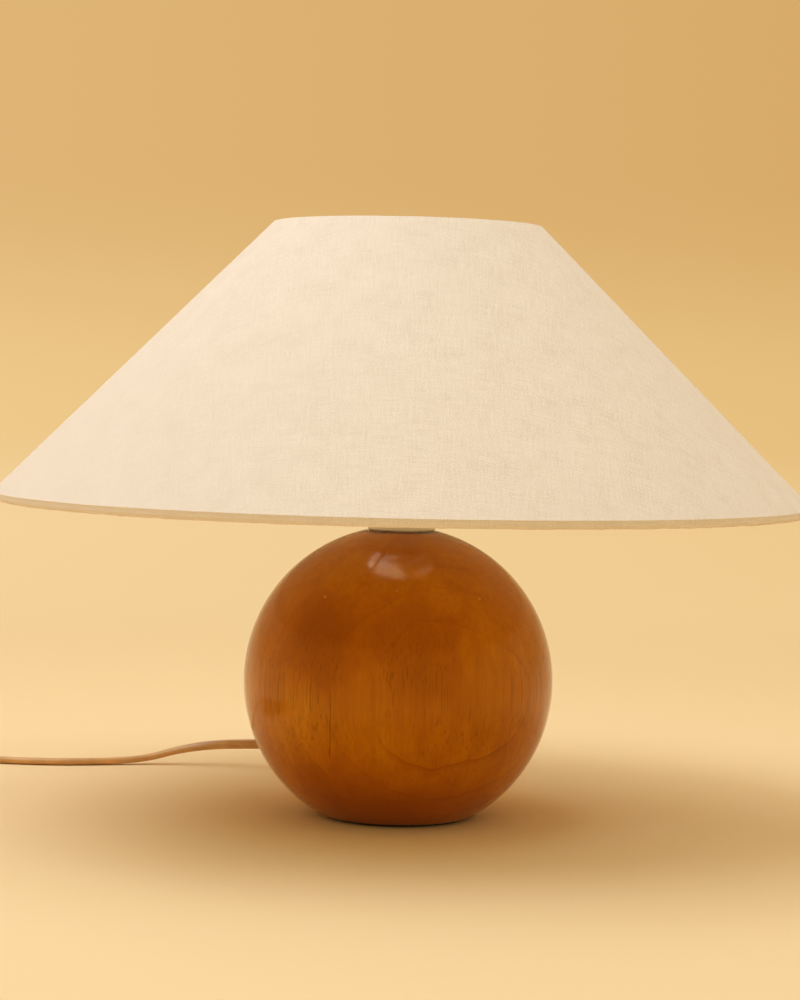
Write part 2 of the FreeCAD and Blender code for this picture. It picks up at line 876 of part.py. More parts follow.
def make_shade_frame():
    turned_body(
        "fitter_ring",
        [
            ("fitter_bore", "flange_z"),
            ("fitter_radius", "flange_z"),
            ("fitter_radius", "fitter_z"),
            ("fitter_bore", "fitter_z"),
        ],
    )
    spoke = new_body("spokes")
    start = "fitter_radius + weld_gap"
    level = "flange_z + fitter_sheet / 2"
    path = new_sketch(spoke, "spoke_path")
    tip = ("bottom_wire_radius - wire_radius - weld_gap", "bottom_wire_z")
    knee, low = Vector(number("spoke_knee"), number(level), 0), Vector(number(tip[0]), number(tip[1]), 0)
    bend = number("spoke_bend")
    centre = knee - Vector(0, bend, 0)
    away = low - centre
    leave_angle = math.atan2(away.y, away.x) + math.acos(bend / away.Length)
    leave = centre + Vector(math.cos(leave_angle), math.sin(leave_angle), 0) * bend
    circle = Part.Circle(centre, Vector(0, 0, 1), bend)
    flat = path.addGeometry(Part.LineSegment(Vector(number(start), number(level), 0), knee))
    bent = path.addGeometry(Part.ArcOfCircle(circle, leave_angle, math.pi / 2))
    slope = path.addGeometry(Part.LineSegment(leave, low))
    hold(path, flat, 1, start, level)
    hold(path, flat, 2, "spoke_knee", level)
    radius_of(path, bent, "spoke_bend")
    path.addConstraint(Sketcher.Constraint("Tangent", flat, 2, bent, 2))
    path.addConstraint(Sketcher.Constraint("Tangent", bent, 1, slope, 1))
    hold(path, slope, 2, *tip)
    section = new_sketch(spoke, "spoke_section", "YZ", start)
    add_circle(section, "0", level, "spoke_radius")
    pipe = spoke.newObject("PartDesign::AdditivePipe", "spoke_wire")
    pipe.Profile = section
    pipe.Spine = path
    repeat(spoke, pipe, "spokes")


# Bulb
def globe_touch(radius, neck):
    """Where a straight line from the glass's neck meets the round of the bulb, and its two formulas."""
    rise = "(globe_z - bulb_neck_z)"
    far = f"(({neck})^2 + {rise}^2)"
    run = f"sqrt({far} - ({radius})^2)"
    r = f"(({radius})^2 * ({neck}) + ({radius}) * {run} * {rise}) / {far}"
    z = f"globe_z + (({radius}) * {run} * ({neck}) - ({radius})^2 * {rise}) / {far}"
    return r, z


def make_bulb():
    inside, neck_in = "bulb_globe_radius - bulb_glass_wall", "bulb_neck_radius - bulb_glass_wall"
    touch_out = globe_touch("bulb_globe_radius", "bulb_neck_radius")
    touch_in = globe_touch(inside, neck_in)
    mouth_in = "glass_mouth - bulb_glass_wall"
    turned_body(
        "bulb_glass",
        [
            ("glass_mouth", "glass_hem_z"),
            ("glass_mouth", "bulb_rim_z"),
            ("bulb_neck_radius", "bulb_neck_z"),
            (touch_out[0], "~" + touch_out[1], arc("0", "globe_z", "bulb_globe_radius")),
            ("0", "~globe_z + bulb_globe_radius"),
            ("0", "~globe_z + " + inside, arc("0", "globe_z", inside, "right")),
            (touch_in[0], "~" + touch_in[1]),
            (neck_in, "bulb_neck_z"),
            (mouth_in, "bulb_rim_z"),
            (mouth_in, "glass_hem_z"),
        ],
    )
    turned_body(
        "bulb_cap",
        [
            ("bulb_cap_radius - bulb_cap_slope", "bulb_cap_z"),
            ("bulb_cap_radius", "bulb_cap_z + bulb_cap_slope"),
            ("bulb_cap_radius", "bulb_rim_z"),
            ("bulb_cap_radius - bulb_cap_sheet", "bulb_rim_z"),
            ("bulb_cap_radius - bulb_cap_sheet", "bulb_cap_z + bulb_cap_slope"),
            ("bulb_cap_radius - bulb_cap_slope - bulb_cap_sheet", "bulb_cap_z"),
        ],
    )
    turned_body(
        "bulb_insulator",
        [
            ("0", "insulator_z"),
            ("bulb_tip_radius", "insulator_z"),
            ("bulb_cap_radius - bulb_cap_slope - bulb_cap_sheet", "bulb_cap_z"),
            ("0", "bulb_cap_z"),
        ],
    )
    turned_body(
        "bulb_tip",
        [
            ("0", "tip_z"),
            ("bulb_tip_radius / 2", "tip_z"),
            ("bulb_tip_radius", "insulator_z"),
            ("0", "insulator_z"),
        ],
    )
    turned_body(
        "bulb_stem",
        [
            ("0", "bulb_cap_z + bulb_insulator"),
            ("bulb_stem_radius", "bulb_cap_z + bulb_insulator"),
            ("bulb_stem_radius", "glass_hem_z - stem_flare_drop"),
            ("stem_rim_radius", "glass_hem_z"),
            ("stem_rim_radius", "glass_hem_z + stem_rim"),
            ("bulb_stem_radius", "bulb_rim_z + stem_flare_rise"),
            ("bulb_stem_radius", "stem_z"),
            ("0", "stem_z"),
        ],
    )


def make_filament():
    spread, high = number("filament_spread"), number("filament_z")
    thick = number("filament_radius")
    bow = number("filament_bow")
    radius = (spread**2 + bow**2) / (2 * bow)
    middle = Vector(0, 0, high + bow - radius)
    tips = [Vector(side * spread, 0, high) for side in (-1, 1)]
    top = Vector(0, 0, high + bow)
    wire = Part.Wire(Part.Arc(tips[0], top, tips[1]).toShape())
    start_way = Vector(0, 1, 0).cross(tips[0] - middle)
    section = Part.Wire(Part.Circle(tips[0], start_way, thick).toShape())
    place_shape("bulb_filament", wire.makePipeShell([section], True, False))
    fine = number("support_radius")
    grip_z = number("stem_z - support_grip")
    stem_side = number("bulb_stem_radius")
    gap = number("contact_gap")
    wires = []
    for side in (-1, 1):
        foot = Vector(side * (stem_side + fine), 0, grip_z)
        head = Vector(side * (spread - gap), 0, high - thick - gap)
        way = head - foot
        wires.append(Part.makeCylinder(fine, way.Length, foot, way))
    place_shape("filament_supports", Part.makeCompound(wires))


# Lead inside the lamp
def make_inner_lead():
    exit_y, exit_z, top = number("exit_y"), number("exit_z"), number("lead_top_z")
    route = [(0, exit_y, exit_z), (0, 0, exit_z), (0, 0, top)]
    solid, _, _ = tube_along(route, number("lead_radius"), number("lead_bend"))
    place_shape("inner_lead", solid)
    level, spread = number("core_z"), number("core_spread")
    wire, bend = number("core_radius"), number("core_bend")
    for label, side, block_x in (("live_core", 1, "contact_x"), ("neutral_core", -1, "shell_post_x")):
        reach = number(block_x) - number("terminal_width") / 2
        route = [(side * spread, 0, top), (side * spread, 0, level), (side * reach, 0, level)]
        solid, _, _ = tube_along(route, wire, bend)
        place_shape(label, solid)


# Free lead, its coil, switch and plug
def make_free_lead():
    radius = number("lead_radius")
    total = 0.0
    for label, route in (
        ("cord_to_switch", lamp_route),
        ("cord_to_coil", coil_route),
        ("cord_to_plug", plug_route),
    ):
        solid, length, radii = tube_along(route, radius)
        total += length
        print(label, f"{length:.0f} mm, bends", [round(r) for r in radii])
        place_shape(label, solid)
    print(f"free lead outside its coil {total:.0f} mm")
    coil = new_body("cord_coil", at=("coil_x", "coil_y", "0"))
    section = new_sketch(coil, "coil_section")
    near, far = "coil_radius - coil_width / 2", "coil_radius + coil_width / 2"
    add_outline(section, [(near, "0"), (far, "0"), (far, "coil_height"), (near, "coil_height")])
    spin(coil, section)
    round_edges(coil, "Fillet", "coil_edge", lambda e: e.Curve.TypeId == "Part::GeomCircle")


def add_rounded(sketch, wide, long, corner):
    """A rectangle with round corners about the sketch's middle, from its half width and half length."""
    cx, cy = f"({wide} - {corner})", f"({long} - {corner})"
    add_outline(
        sketch,
        [
            ("-" + cx, f"~-({long})"),
            (cx, f"~-({long})", arc(cx, "-" + cy, corner)),
            (f"~{wide}", "-" + cy),
            (f"~{wide}", cy, arc(cx, cy, corner)),
            (cx, f"~{long}"),
            ("-" + cx, f"~{long}", arc("-" + cx, cy, corner)),
            (f"~-({wide})", cy),
            (f"~-({wide})", "-" + cy, arc("-" + cx, "-" + cy, corner)),
        ],
    )


def add_rectangle(sketch, left, right, low, high):
    add_outline(sketch, [(left, low), (right, low), (right, high), (left, high)])


def make_switch_shell(label, low, high, open_side):
    """Half of the switch's case: a tray with round ends, its mouth where the halves meet."""
    shell = new_body(label, at=("switch_x", "switch_y", "0"))
    outline = new_sketch(shell, label + "_outline", "XY", low)
    add_rounded(outline, "switch_side", "switch_back", "switch_end")
    pad(shell, outline, f"{high} - {low}")
    face = low if open_side == "high" else high
    level = number(face)
    round_edges(
        shell,
        "Fillet",
        "switch_edge",
        lambda e: all(abs(v.Z - level) < hair for v in e.Vertexes),
    )
    hollow = new_sketch(shell, label + "_hollow", "XY", high if open_side == "high" else low)
    inset = "switch_wall"
    add_rounded(
        hollow, f"(switch_side - {inset})", f"(switch_back - {inset})", f"(switch_end - {inset})"
    )
    pocket(shell, hollow, f"{high} - {low} - {inset}", back=open_side == "low")
    pillars = new_sketch(shell, label + "_pillars", "XY", low if open_side == "high" else high)
    for sign in ("", "-"):
        add_circle(pillars, sign + "post_x", sign + "post_y", "pillar_radius")
    pad(shell, pillars, f"{high} - {low}", down=open_side == "low")
    lead_way = new_sketch(shell, label + "_lead_way", "XZ")
    add_circle(lead_way, "0", "switch_split_z", "lead_radius + lead_clearance")
    pocket(shell, lead_way, "switch_length + cut_margin", middle=True)
    return shell


def make_switch():
    lower = make_switch_shell("switch_lower_shell", "0", "switch_split_z", "high")
    holes = new_sketch(lower, "switch_screw_holes", "XY", "0")
    heads = new_sketch(lower, "switch_head_holes", "XY", "0")
    for sign in ("", "-"):
        spot = (sign + "post_x", sign + "post_y")
        add_circle(holes, *spot, "screw_radius + thread_clearance")
        add_circle(heads, *spot, "screw_head_radius + thread_clearance")
    pocket(lower, holes, back=True)
    pocket(lower, heads, "screw_head + contact_gap", back=True)
    upper = make_switch_shell("switch_upper_shell", "switch_split_z", "switch_top_z", "low")
    window = new_sketch(upper, "switch_window", "XY", "switch_top_z")
    half_wide, half_long = "window_width / 2", "window_length / 2"
    add_rectangle(window, "-" + half_wide, half_wide, "-" + half_long, half_long)
    pocket(upper, window, "switch_wall + cut_margin")
    cheeks = new_sketch(upper, "switch_cheeks", "XY", "switch_top_z - switch_wall")
    for left, right in (
        (half_wide, half_wide + " + cheek"),
        (f"-({half_wide} + cheek)", "-" + half_wide),
    ):
        add_rectangle(cheeks, left, right, "-cheek_length / 2", "cheek_length / 2")
    pad(upper, cheeks, "cheek_depth", down=True)
    pivot = new_sketch(upper, "switch_pivot_holes", "YZ")
    add_circle(pivot, "0", "rocker_pivot_z", "trunnion_radius + trunnion_clearance")
    pocket(upper, pivot, "window_width + 2 * cheek", middle=True)
    pilot = new_sketch(upper, "switch_pilot_holes", "XY", "switch_split_z")
    for sign in ("", "-"):
        add_circle(pilot, sign + "post_x", sign + "post_y", "screw_radius + thread_clearance")
    pocket(upper, pilot, "screw_length - switch_split_z", back=True)
    make_rocker()
    screws = []
    for sign in ("", "-"):
        spot = (f"switch_x {sign or '+'} post_x", f"switch_y {sign or '+'} post_y")
        shank = rod((*spot, "contact_gap"), "screw_radius", "screw_length - 2 * contact_gap")
        head = rod((*spot, "contact_gap"), "screw_head_radius", "screw_head")
        screws.append(fuse([shank, head]))
    group(screws, "switch_screws")
    clamps = []
    for sign in ("+", "-"):
        corner = (
            "switch_x - clamp_x - clamp_size / 2",
            f"switch_y {sign} clamp_y - clamp_size / 2",
            "switch_wall",
        )
        clamps.append(box(corner, ("clamp_size", "clamp_size", "clamp_height")))
    group(clamps, "switch_clamps")
    strip = box(
        (
            "switch_x - clamp_x - clamp_size / 4",
            "switch_y - clamp_y + clamp_size / 2",
            "switch_wall + clamp_height - contact_sheet",
        ),
        ("clamp_size / 2", "2 * clamp_y - clamp_size", "contact_sheet"),
    )
    keep(strip, "switch_contact")


def make_rocker():
    """The rocker about its own pivot, drawn from the side and turned to its off position."""
    rocker = new_body(
        "switch_rocker", at=("switch_x", "switch_y", "rocker_pivot_z"), tilt="-rocker_off"
    )
    side = new_sketch(rocker, "rocker_side_view", "YZ")
    reach, drop = "rocker_length", "rocker_drop"
    round_end = arc("0", "0", reach)
    add_outline(
        side,
        [
            (f"-{drop}", f"-{drop}"),
            (drop, f"-{drop}"),
            (f"~{reach}", "-rocker_skirt", round_end),
            (f"~{reach}", "rocker_horn"),
            ("0", "rocker_dip"),
            (f"~-{reach}", "rocker_horn", round_end),
            (f"~-{reach}", "-rocker_skirt"),
        ],
    )
    pad(rocker, side, "2 * rocker_side", middle=True)
    pin = new_sketch(rocker, "rocker_trunnions", "YZ")
    add_circle(pin, "0", "0", "trunnion_radius")
    pad(rocker, pin, "window_width + 2 * trunnion_reach", middle=True)


def make_plug():
    body = new_body("plug_body", at=("plug_x", "plug_y", "plug_z"))
    steps = (
        ("plug_back", "0", "plug_back_width / 2", "plug_back_thickness / 2"),
        ("plug_middle", "plug_waist", "plug_width / 2 - plug_taper", "plug_thickness / 2"),
        ("plug_front", "plug_depth - plug_edge", "plug_width / 2", "plug_thickness / 2"),
        ("plug_nose", "plug_depth", "plug_width / 2 - plug_edge", "plug_thickness / 2 - plug_edge"),
    )
    sections = []
    for name, run, half_wide, half_thick in steps:
        section = new_sketch(body, name, "XZ", f"-({run})")
        add_rounded(section, half_wide, half_thick, "plug_corner")
        sections.append(section)
    loft = body.newObject("PartDesign::AdditiveLoft", "plug_loft")
    loft.Profile = sections[0]
    loft.Sections = sections[1:]
    loft.Ruled = True
    sleeve = new_body("plug_sleeve", at=("plug_x", "plug_y", "plug_z"))
    sleeve.Placement.Rotation = Rotation(Vector(1, 0, 0), 90)
    outline = new_sketch(sleeve, "plug_sleeve_outline")
    add_outline(
        outline,
        [
            ("0", "0"),
            ("sleeve_radius", "0"),
            ("sleeve_tip_radius", "sleeve_length"),
            ("0", "sleeve_length"),
        ],
    )
    spin(sleeve, outline)
    forward = Vector(0, 1, 0)
    pins, covers = [], []
    for sign in ("+", "-"):
        across = f"plug_x {sign} pin_pitch / 2"
        foot = (across, "plug_front_y", "plug_z")
        cover_end = (across, "plug_front_y + pin_cover", "plug_z")
        root = rod(foot, "pin_core_radius", "pin_cover", forward)
        tip = rod(cover_end, "pin_radius", "pin_length - pin_cover - pin_radius", forward)
        end = ball((across, "plug_front_y + pin_length - pin_radius", "plug_z"), "pin_radius")
        pins.append(fuse([root, tip, end]))
        jacket = rod(foot, "pin_cover_radius", "pin_cover", forward)
        core = rod(foot, "pin_core_radius + thread_clearance / 2", "pin_cover", forward)
        covers.append(cut(jacket, core))
    group(pins, "plug_pins")
    group(covers, "pin_covers")


# Write the parts
def write_parts():
    doc.recompute()
    failed = [o.Name for o in doc.Objects if "Invalid" in o.State or "Error" in o.State]
    for part in parts:
        if part.Shape.isNull() or not part.Shape.isValid():
            failed.append(part.Label)
    if failed:
        raise RuntimeError(f"failed: {failed}")
    os.makedirs("parts", exist_ok=True)
    for part in parts:
        part.Shape.exportStep(f"parts/{part.Label}.step")
    print(len(parts), "parts written")


make_ball()
make_ball_fittings()
make_bush()
make_holder()
make_contacts()
make_shade_ring()
make_shade()
make_shade_frame()
make_bulb()
make_filament()
make_inner_lead()
make_free_lead()
make_switch()
make_plug()
write_parts()
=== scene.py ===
import bmesh
import bpy
import math
from mathutils import Matrix, Vector, noise


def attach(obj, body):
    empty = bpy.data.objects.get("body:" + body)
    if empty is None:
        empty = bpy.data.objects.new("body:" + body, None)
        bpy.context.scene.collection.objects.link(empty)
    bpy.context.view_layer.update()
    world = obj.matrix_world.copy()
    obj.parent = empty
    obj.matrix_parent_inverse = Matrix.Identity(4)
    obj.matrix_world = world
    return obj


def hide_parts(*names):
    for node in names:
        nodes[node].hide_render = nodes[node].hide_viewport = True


# A wooden ball lamp with a wide linen shade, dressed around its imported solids. Everything is in metres.
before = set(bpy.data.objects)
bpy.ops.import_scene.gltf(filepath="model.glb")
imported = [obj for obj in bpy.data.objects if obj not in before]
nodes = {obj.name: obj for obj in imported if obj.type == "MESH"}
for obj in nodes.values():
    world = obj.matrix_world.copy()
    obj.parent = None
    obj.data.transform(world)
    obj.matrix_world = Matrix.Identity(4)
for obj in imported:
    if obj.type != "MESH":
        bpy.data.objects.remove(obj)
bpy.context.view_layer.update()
scene = bpy.context.scene
print("frame:", len(nodes), "nodes")


# Camera, at the photograph's place. The shade leans a little there, and the roll carries that.
cameraSpot = {
    "place": (0.00356, -1.39951, 0.24142),
    "pitch": 0.0464,
    "yaw": -0.0034,
    "roll": 0.0225,
    "lens": 90.4,
    "sensor": 36,
}


def placeCamera(spot):
    data = bpy.data.cameras.new("camera")
    data.lens = spot["lens"]
    data.sensor_width = spot["sensor"]
    camera = bpy.data.objects.new("camera", data)
    level = math.cos(spot["pitch"])
    forward = Vector(
        (math.sin(spot["yaw"]) * level, math.cos(spot["yaw"]) * level, -math.sin(spot["pitch"]))
    )
    right = forward.cross(Vector((0, 0, 1))).normalized()
    up = right.cross(forward)
    side = math.cos(spot["roll"]) * right + math.sin(spot["roll"]) * up
    turned = Matrix((side, side.cross(forward), -forward)).transposed()
    camera.matrix_world = Matrix.Translation(spot["place"]) @ turned.to_4x4()
    scene.collection.objects.link(camera)
    scene.camera = camera


placeCamera(cameraSpot)
scene.view_settings.view_transform = "Standard"
print("camera placed")


# Small helpers for objects and meshes
def newObject(name, data):
    thing = bpy.data.objects.new(name, data)
    scene.collection.objects.link(thing)
    return thing


# What an object's modifiers or its spline make of it, as a plain mesh.
def finishedMesh(holder):
    ready = holder.evaluated_get(bpy.context.evaluated_depsgraph_get())
    return bpy.data.meshes.new_from_object(ready)


# uv, where given, holds one (u, v) for each corner of each face, in metres.
def newPiece(name, vertices, faces, material=None, uv=None):
    mesh = bpy.data.meshes.new(name)
    mesh.from_pydata(vertices, [], faces)
    if uv:
        layer = mesh.uv_layers.new(name="flat")
        layer.data.foreach_set("uv", [x for corner in uv for x in corner])
    mesh.polygons.foreach_set("use_smooth", [True] * len(mesh.polygons))
    if material:
        mesh.materials.append(material)
    return newObject(name, mesh)


# Quads of a grid whose columns close on themselves where wrap is true.
def gridFaces(rows, columns, wrap):
    last = columns if wrap else columns - 1
    return [
        (
            row * columns + column,
            row * columns + (column + 1) % columns,
            (row + 1) * columns + (column + 1) % columns,
            (row + 1) * columns + column,
        )
        for row in range(rows - 1)
        for column in range(last)
    ]


def smoothStep(value):
    value = min(max(value, 0), 1)
    return value * value * (3 - 2 * value)


# The points of one smooth line that has these as its control points.
def centreLine(name, points):
    curve = bpy.data.curves.new(name, "CURVE")
    curve.dimensions = "3D"
    curve.resolution_u = 10
    spline = curve.splines.new("NURBS")
    spline.points.add(len(points) - 1)
    for point, place in zip(spline.points, points):
        point.co = (*place, 1)
    spline.order_u = 3
    spline.use_endpoint_u = True
    holder = newObject(name, curve)
    line = finishedMesh(holder)
    places = [vertex.co.copy() for vertex in line.vertices]
    bpy.data.objects.remove(holder)
    bpy.data.meshes.remove(line)
    return places


# Small helpers for nodes. An input that is given a socket is linked to it, and any other value is set.
def addNode(tree, kind, inputs=None, **settings):
    node = tree.nodes.new(kind)
    for key, value in settings.items():
        setattr(node, key, value)
    for socket, value in (inputs or {}).items():
        if isinstance(value, bpy.types.NodeSocket):
            tree.links.new(value, node.inputs[socket])
        else:
            node.inputs[socket].default_value = value
    return node


def calculate(tree, operation, *values):
    return addNode(tree, "ShaderNodeMath", dict(enumerate(values)), operation=operation).outputs[0]


def absolute(tree, value):
    return calculate(tree, "ABSOLUTE", value)


def greater(tree, first, second):
    return calculate(tree, "MAXIMUM", first, second)


def plus(tree, first, second):
    return calculate(tree, "ADD", first, second)


def minus(tree, first, second):
    return calculate(tree, "SUBTRACT", first, second)


def times(tree, first, second):
    return calculate(tree, "MULTIPLY", first, second)


def moveVector(tree, operation, first, second):
    node = addNode(tree, "ShaderNodeVectorMath", {0: first, 1: second}, operation=operation)
    return node.outputs["Vector"]


def scaleVector(tree, vector, factor):
    node = addNode(tree, "ShaderNodeVectorMath", {0: vector, "Scale": factor}, operation="SCALE")
    return node.outputs["Vector"]


def lengthOf(tree, vector):
    return addNode(tree, "ShaderNodeVectorMath", {0: vector}, operation="LENGTH").outputs["Value"]


def distanceTo(tree, place, middle):
    return lengthOf(tree, moveVector(tree, "SUBTRACT", place, middle))


def axisOf(tree, place, axis):
    return addNode(tree, "ShaderNodeSeparateXYZ", {0: place}).outputs[axis]


def opaque(colour):
    return colour if isinstance(colour, bpy.types.NodeSocket) else (*colour, 1)


def mixColours(tree, share, first, second, blend="MIX"):
    inputs = {0: share, 6: opaque(first), 7: opaque(second)}
    return addNode(tree, "ShaderNodeMix", inputs, data_type="RGBA", blend_type=blend).outputs[2]


def noiseAt(tree, place, scale, detail=2, roughness=0.5, output="Fac"):
    inputs = {"Vector": place, "Scale": scale, "Detail": detail, "Roughness": roughness}
    return addNode(tree, "ShaderNodeTexNoise", inputs).outputs[output]


# Takes low..high to toLow..toHigh and keeps to it beyond both ends.
def spread(tree, value, low, high, toLow=0.0, toHigh=1.0, soft=False):
    inputs = {"Value": value, "From Min": low, "From Max": high, "To Min": toLow, "To Max": toHigh}
    kind = "SMOOTHSTEP" if soft else "LINEAR"
    return addNode(tree, "ShaderNodeMapRange", inputs, interpolation_type=kind).outputs["Result"]


def stretched(tree, place, scale):
    return addNode(tree, "ShaderNodeMapping", {"Vector": place, "Scale": scale}).outputs["Vector"]


# The place, moved by a noise that strays up to about half of reach each way.
def strayed(tree, place, noisePlace, scale, detail, reach):
    colour = noiseAt(tree, noisePlace, scale, detail, output="Color")
    shift = scaleVector(tree, moveVector(tree, "SUBTRACT", colour, (0.5, 0.5, 0.5)), reach)
    return moveVector(tree, "ADD", place, shift)


def newGroup(name, inputs, outputs):
    tree = bpy.data.node_groups.new(name, "ShaderNodeTree")
    for label, kind, value in inputs:
        socket = tree.interface.new_socket(label, in_out="INPUT", socket_type="NodeSocket" + kind)
        if value is not None:
            socket.default_value = value
    for label, kind in outputs:
        tree.interface.new_socket(label, in_out="OUTPUT", socket_type="NodeSocket" + kind)
    return tree, tree.nodes.new("NodeGroupInput").outputs, tree.nodes.new("NodeGroupOutput").inputs


def useGroup(tree, group, inputs):
    return addNode(tree, "ShaderNodeGroup", inputs, node_tree=group)


# A colour that drifts between two tones over broad soft patches.
def makeToneDrift():
    tree, given, result = newGroup(
        "toneDrift",
        [
            ("Place", "Vector", None),
            ("Patches", "Float", 20.0),
            ("Light", "Color", (0.8, 0.8, 0.8, 1)),
            ("Dark", "Color", (0.5, 0.5, 0.5, 1)),
        ],
        [("Color", "Color")],
    )
    mask = spread(tree, noiseAt(tree, given["Place"], given["Patches"], 3), 0.32, 0.68)
    tree.links.new(mixColours(tree, mask, given["Light"], given["Dark"]), result["Color"])
    return tree


# Small relief and a matching change of roughness, as moulded, cast or drawn surfaces have.
def makeFineGrain():
    tree, given, result = newGroup(
        "fineGrain",
        [
            ("Place", "Vector", None),
            ("Grains", "Float", 900.0),
            ("Roughness", "Float", 0.4),
            ("Change", "Float", 0.1),
        ],
        [("Height", "Float"), ("Roughness", "Float")],
    )
    fine = noiseAt(tree, given["Place"], given["Grains"], 2)
    broad = noiseAt(tree, given["Place"], times(tree, given["Grains"], 0.06), 3)
    change = times(tree, minus(tree, broad, 0.5), times(tree, given["Change"], 2.0))
    tree.links.new(fine, result["Height"])
    tree.links.new(plus(tree, given["Roughness"], change), result["Roughness"])
    return tree


# Noise to a metre across and along a thread, how far threads stray, and how much each part of the
# weave counts.
weave = {
    "slubs": (1150.0, 62.0),
    "stray": (70.0, 0.0016),
    "flank": 0.55,
    "tone": {"top": 0.35, "slubs": 0.36, "crossing": 0.45, "middle": 0.44},
    "height": 0.6,
    "clearPatches": 55.0,
    "crossings": 1250.0,
}


# Plain weave of uneven threads in the cloth's own flat plane, in metres.
def makeClothWeave():
    tree, given, result = newGroup(
        "clothWeave",
        [("Place", "Vector", None), ("Thread", "Float", 0.00056), ("Clear", "Float", 1.0)],
        [("Tone", "Float"), ("Height", "Float")],
    )
    place, tones = given["Place"], weave["tone"]
    scale, reach = weave["stray"]
    moved = strayed(tree, place, place, scale, 2, reach)
    across, along = weave["slubs"]
    waves, widths = [], []
    for axis, narrow in (("X", (across, along, 1.0)), ("Y", (along, across, 1.0))):
        turns = calculate(tree, "DIVIDE", axisOf(tree, moved, axis), given["Thread"])
        waves.append(calculate(tree, "SINE", times(tree, turns, math.pi)))
        widths.append(spread(tree, noiseAt(tree, stretched(tree, place, narrow), 1.0, 3, 0.6), 0.30, 0.72))
    # 1 where a warp thread lies on top of the weft, -1 where it dives below
    over = times(tree, *waves)
    warp = plus(tree, times(tree, absolute(tree, waves[0]), weave["flank"]), over)
    weft = minus(tree, times(tree, absolute(tree, waves[1]), weave["flank"]), over)
    top = greater(tree, warp, weft)
    slubs = minus(tree, plus(tree, *widths), 1.0)
    # the weave shows more in some places than in others, and no two crossings are alike
    clear = spread(tree, noiseAt(tree, place, weave["clearPatches"], 3, 0.6), 0.35, 0.65, 0.15, 1.0)
    uneven = noiseAt(tree, place, weave["crossings"], 2, 0.7)
    crossing = spread(tree, uneven, 0.30, 0.70, -tones["crossing"], tones["crossing"])
    body = times(tree, plus(tree, times(tree, top, tones["top"]), over), clear)
    tone = plus(tree, plus(tree, body, times(tree, slubs, tones["slubs"])), crossing)
    tone = plus(tree, times(tree, tone, given["Clear"]), tones["middle"])
    height = plus(tree, times(tree, top, weave["height"]), times(tree, slubs, weave["height"]))
    tree.links.new(tone, result["Tone"])
    tree.links.new(height, result["Height"])
    return tree


toneDrift = makeToneDrift()
fineGrain = makeFineGrain()
clothWeave = makeClothWeave()


# A material, its tree, its shader and the places that a pattern can follow. Settings go on the
# shader's own sockets.
def newMaterial(name, **settings):
    material = bpy.data.materials.new(name)
    material.use_nodes = True
    tree = material.node_tree
    shader = tree.nodes["Principled BSDF"]
    for label, value in settings.items():
        shader.inputs[label.replace("_", " ")].default_value = value
    return material, tree, shader, tree.nodes.new("ShaderNodeTexCoord").outputs


# depth is how far a height of 1 stands out, in metres.
def addRelief(tree, shader, height, depth, strength=1.0):
    bump = addNode(tree, "ShaderNodeBump", {"Height": height, "Distance": depth, "Strength": strength})
    tree.links.new(bump.outputs["Normal"], shader.inputs["Normal"])


def addGrain(tree, shader, place, grains, roughness, change, depth, strength=1.0):
    inputs = {"Place": place, "Grains": grains, "Roughness": roughness, "Change": change}
    grain = useGroup(tree, fineGrain, inputs).outputs
    tree.links.new(grain["Roughness"], shader.inputs["Roughness"])
    addRelief(tree, shader, grain["Height"], depth, strength)


def driftingTone(tree, place, patches, light, dark):
    inputs = {"Place": place, "Patches": patches, "Light": opaque(light), "Dark": opaque(dark)}
    return useGroup(tree, toneDrift, inputs).outputs["Color"]


# A solid finish with drifting tone and fine grain.
def plainFinish(name, light, dark, patches, grains, roughness, change, depth, **settings):
    material, tree, shader, given = newMaterial(name, **settings)
    tone = driftingTone(tree, given["Object"], patches, light, dark)
    tree.links.new(tone, shader.inputs["Base Color"])
    addGrain(tree, shader, given["Object"], grains, roughness, change, depth)
    return material


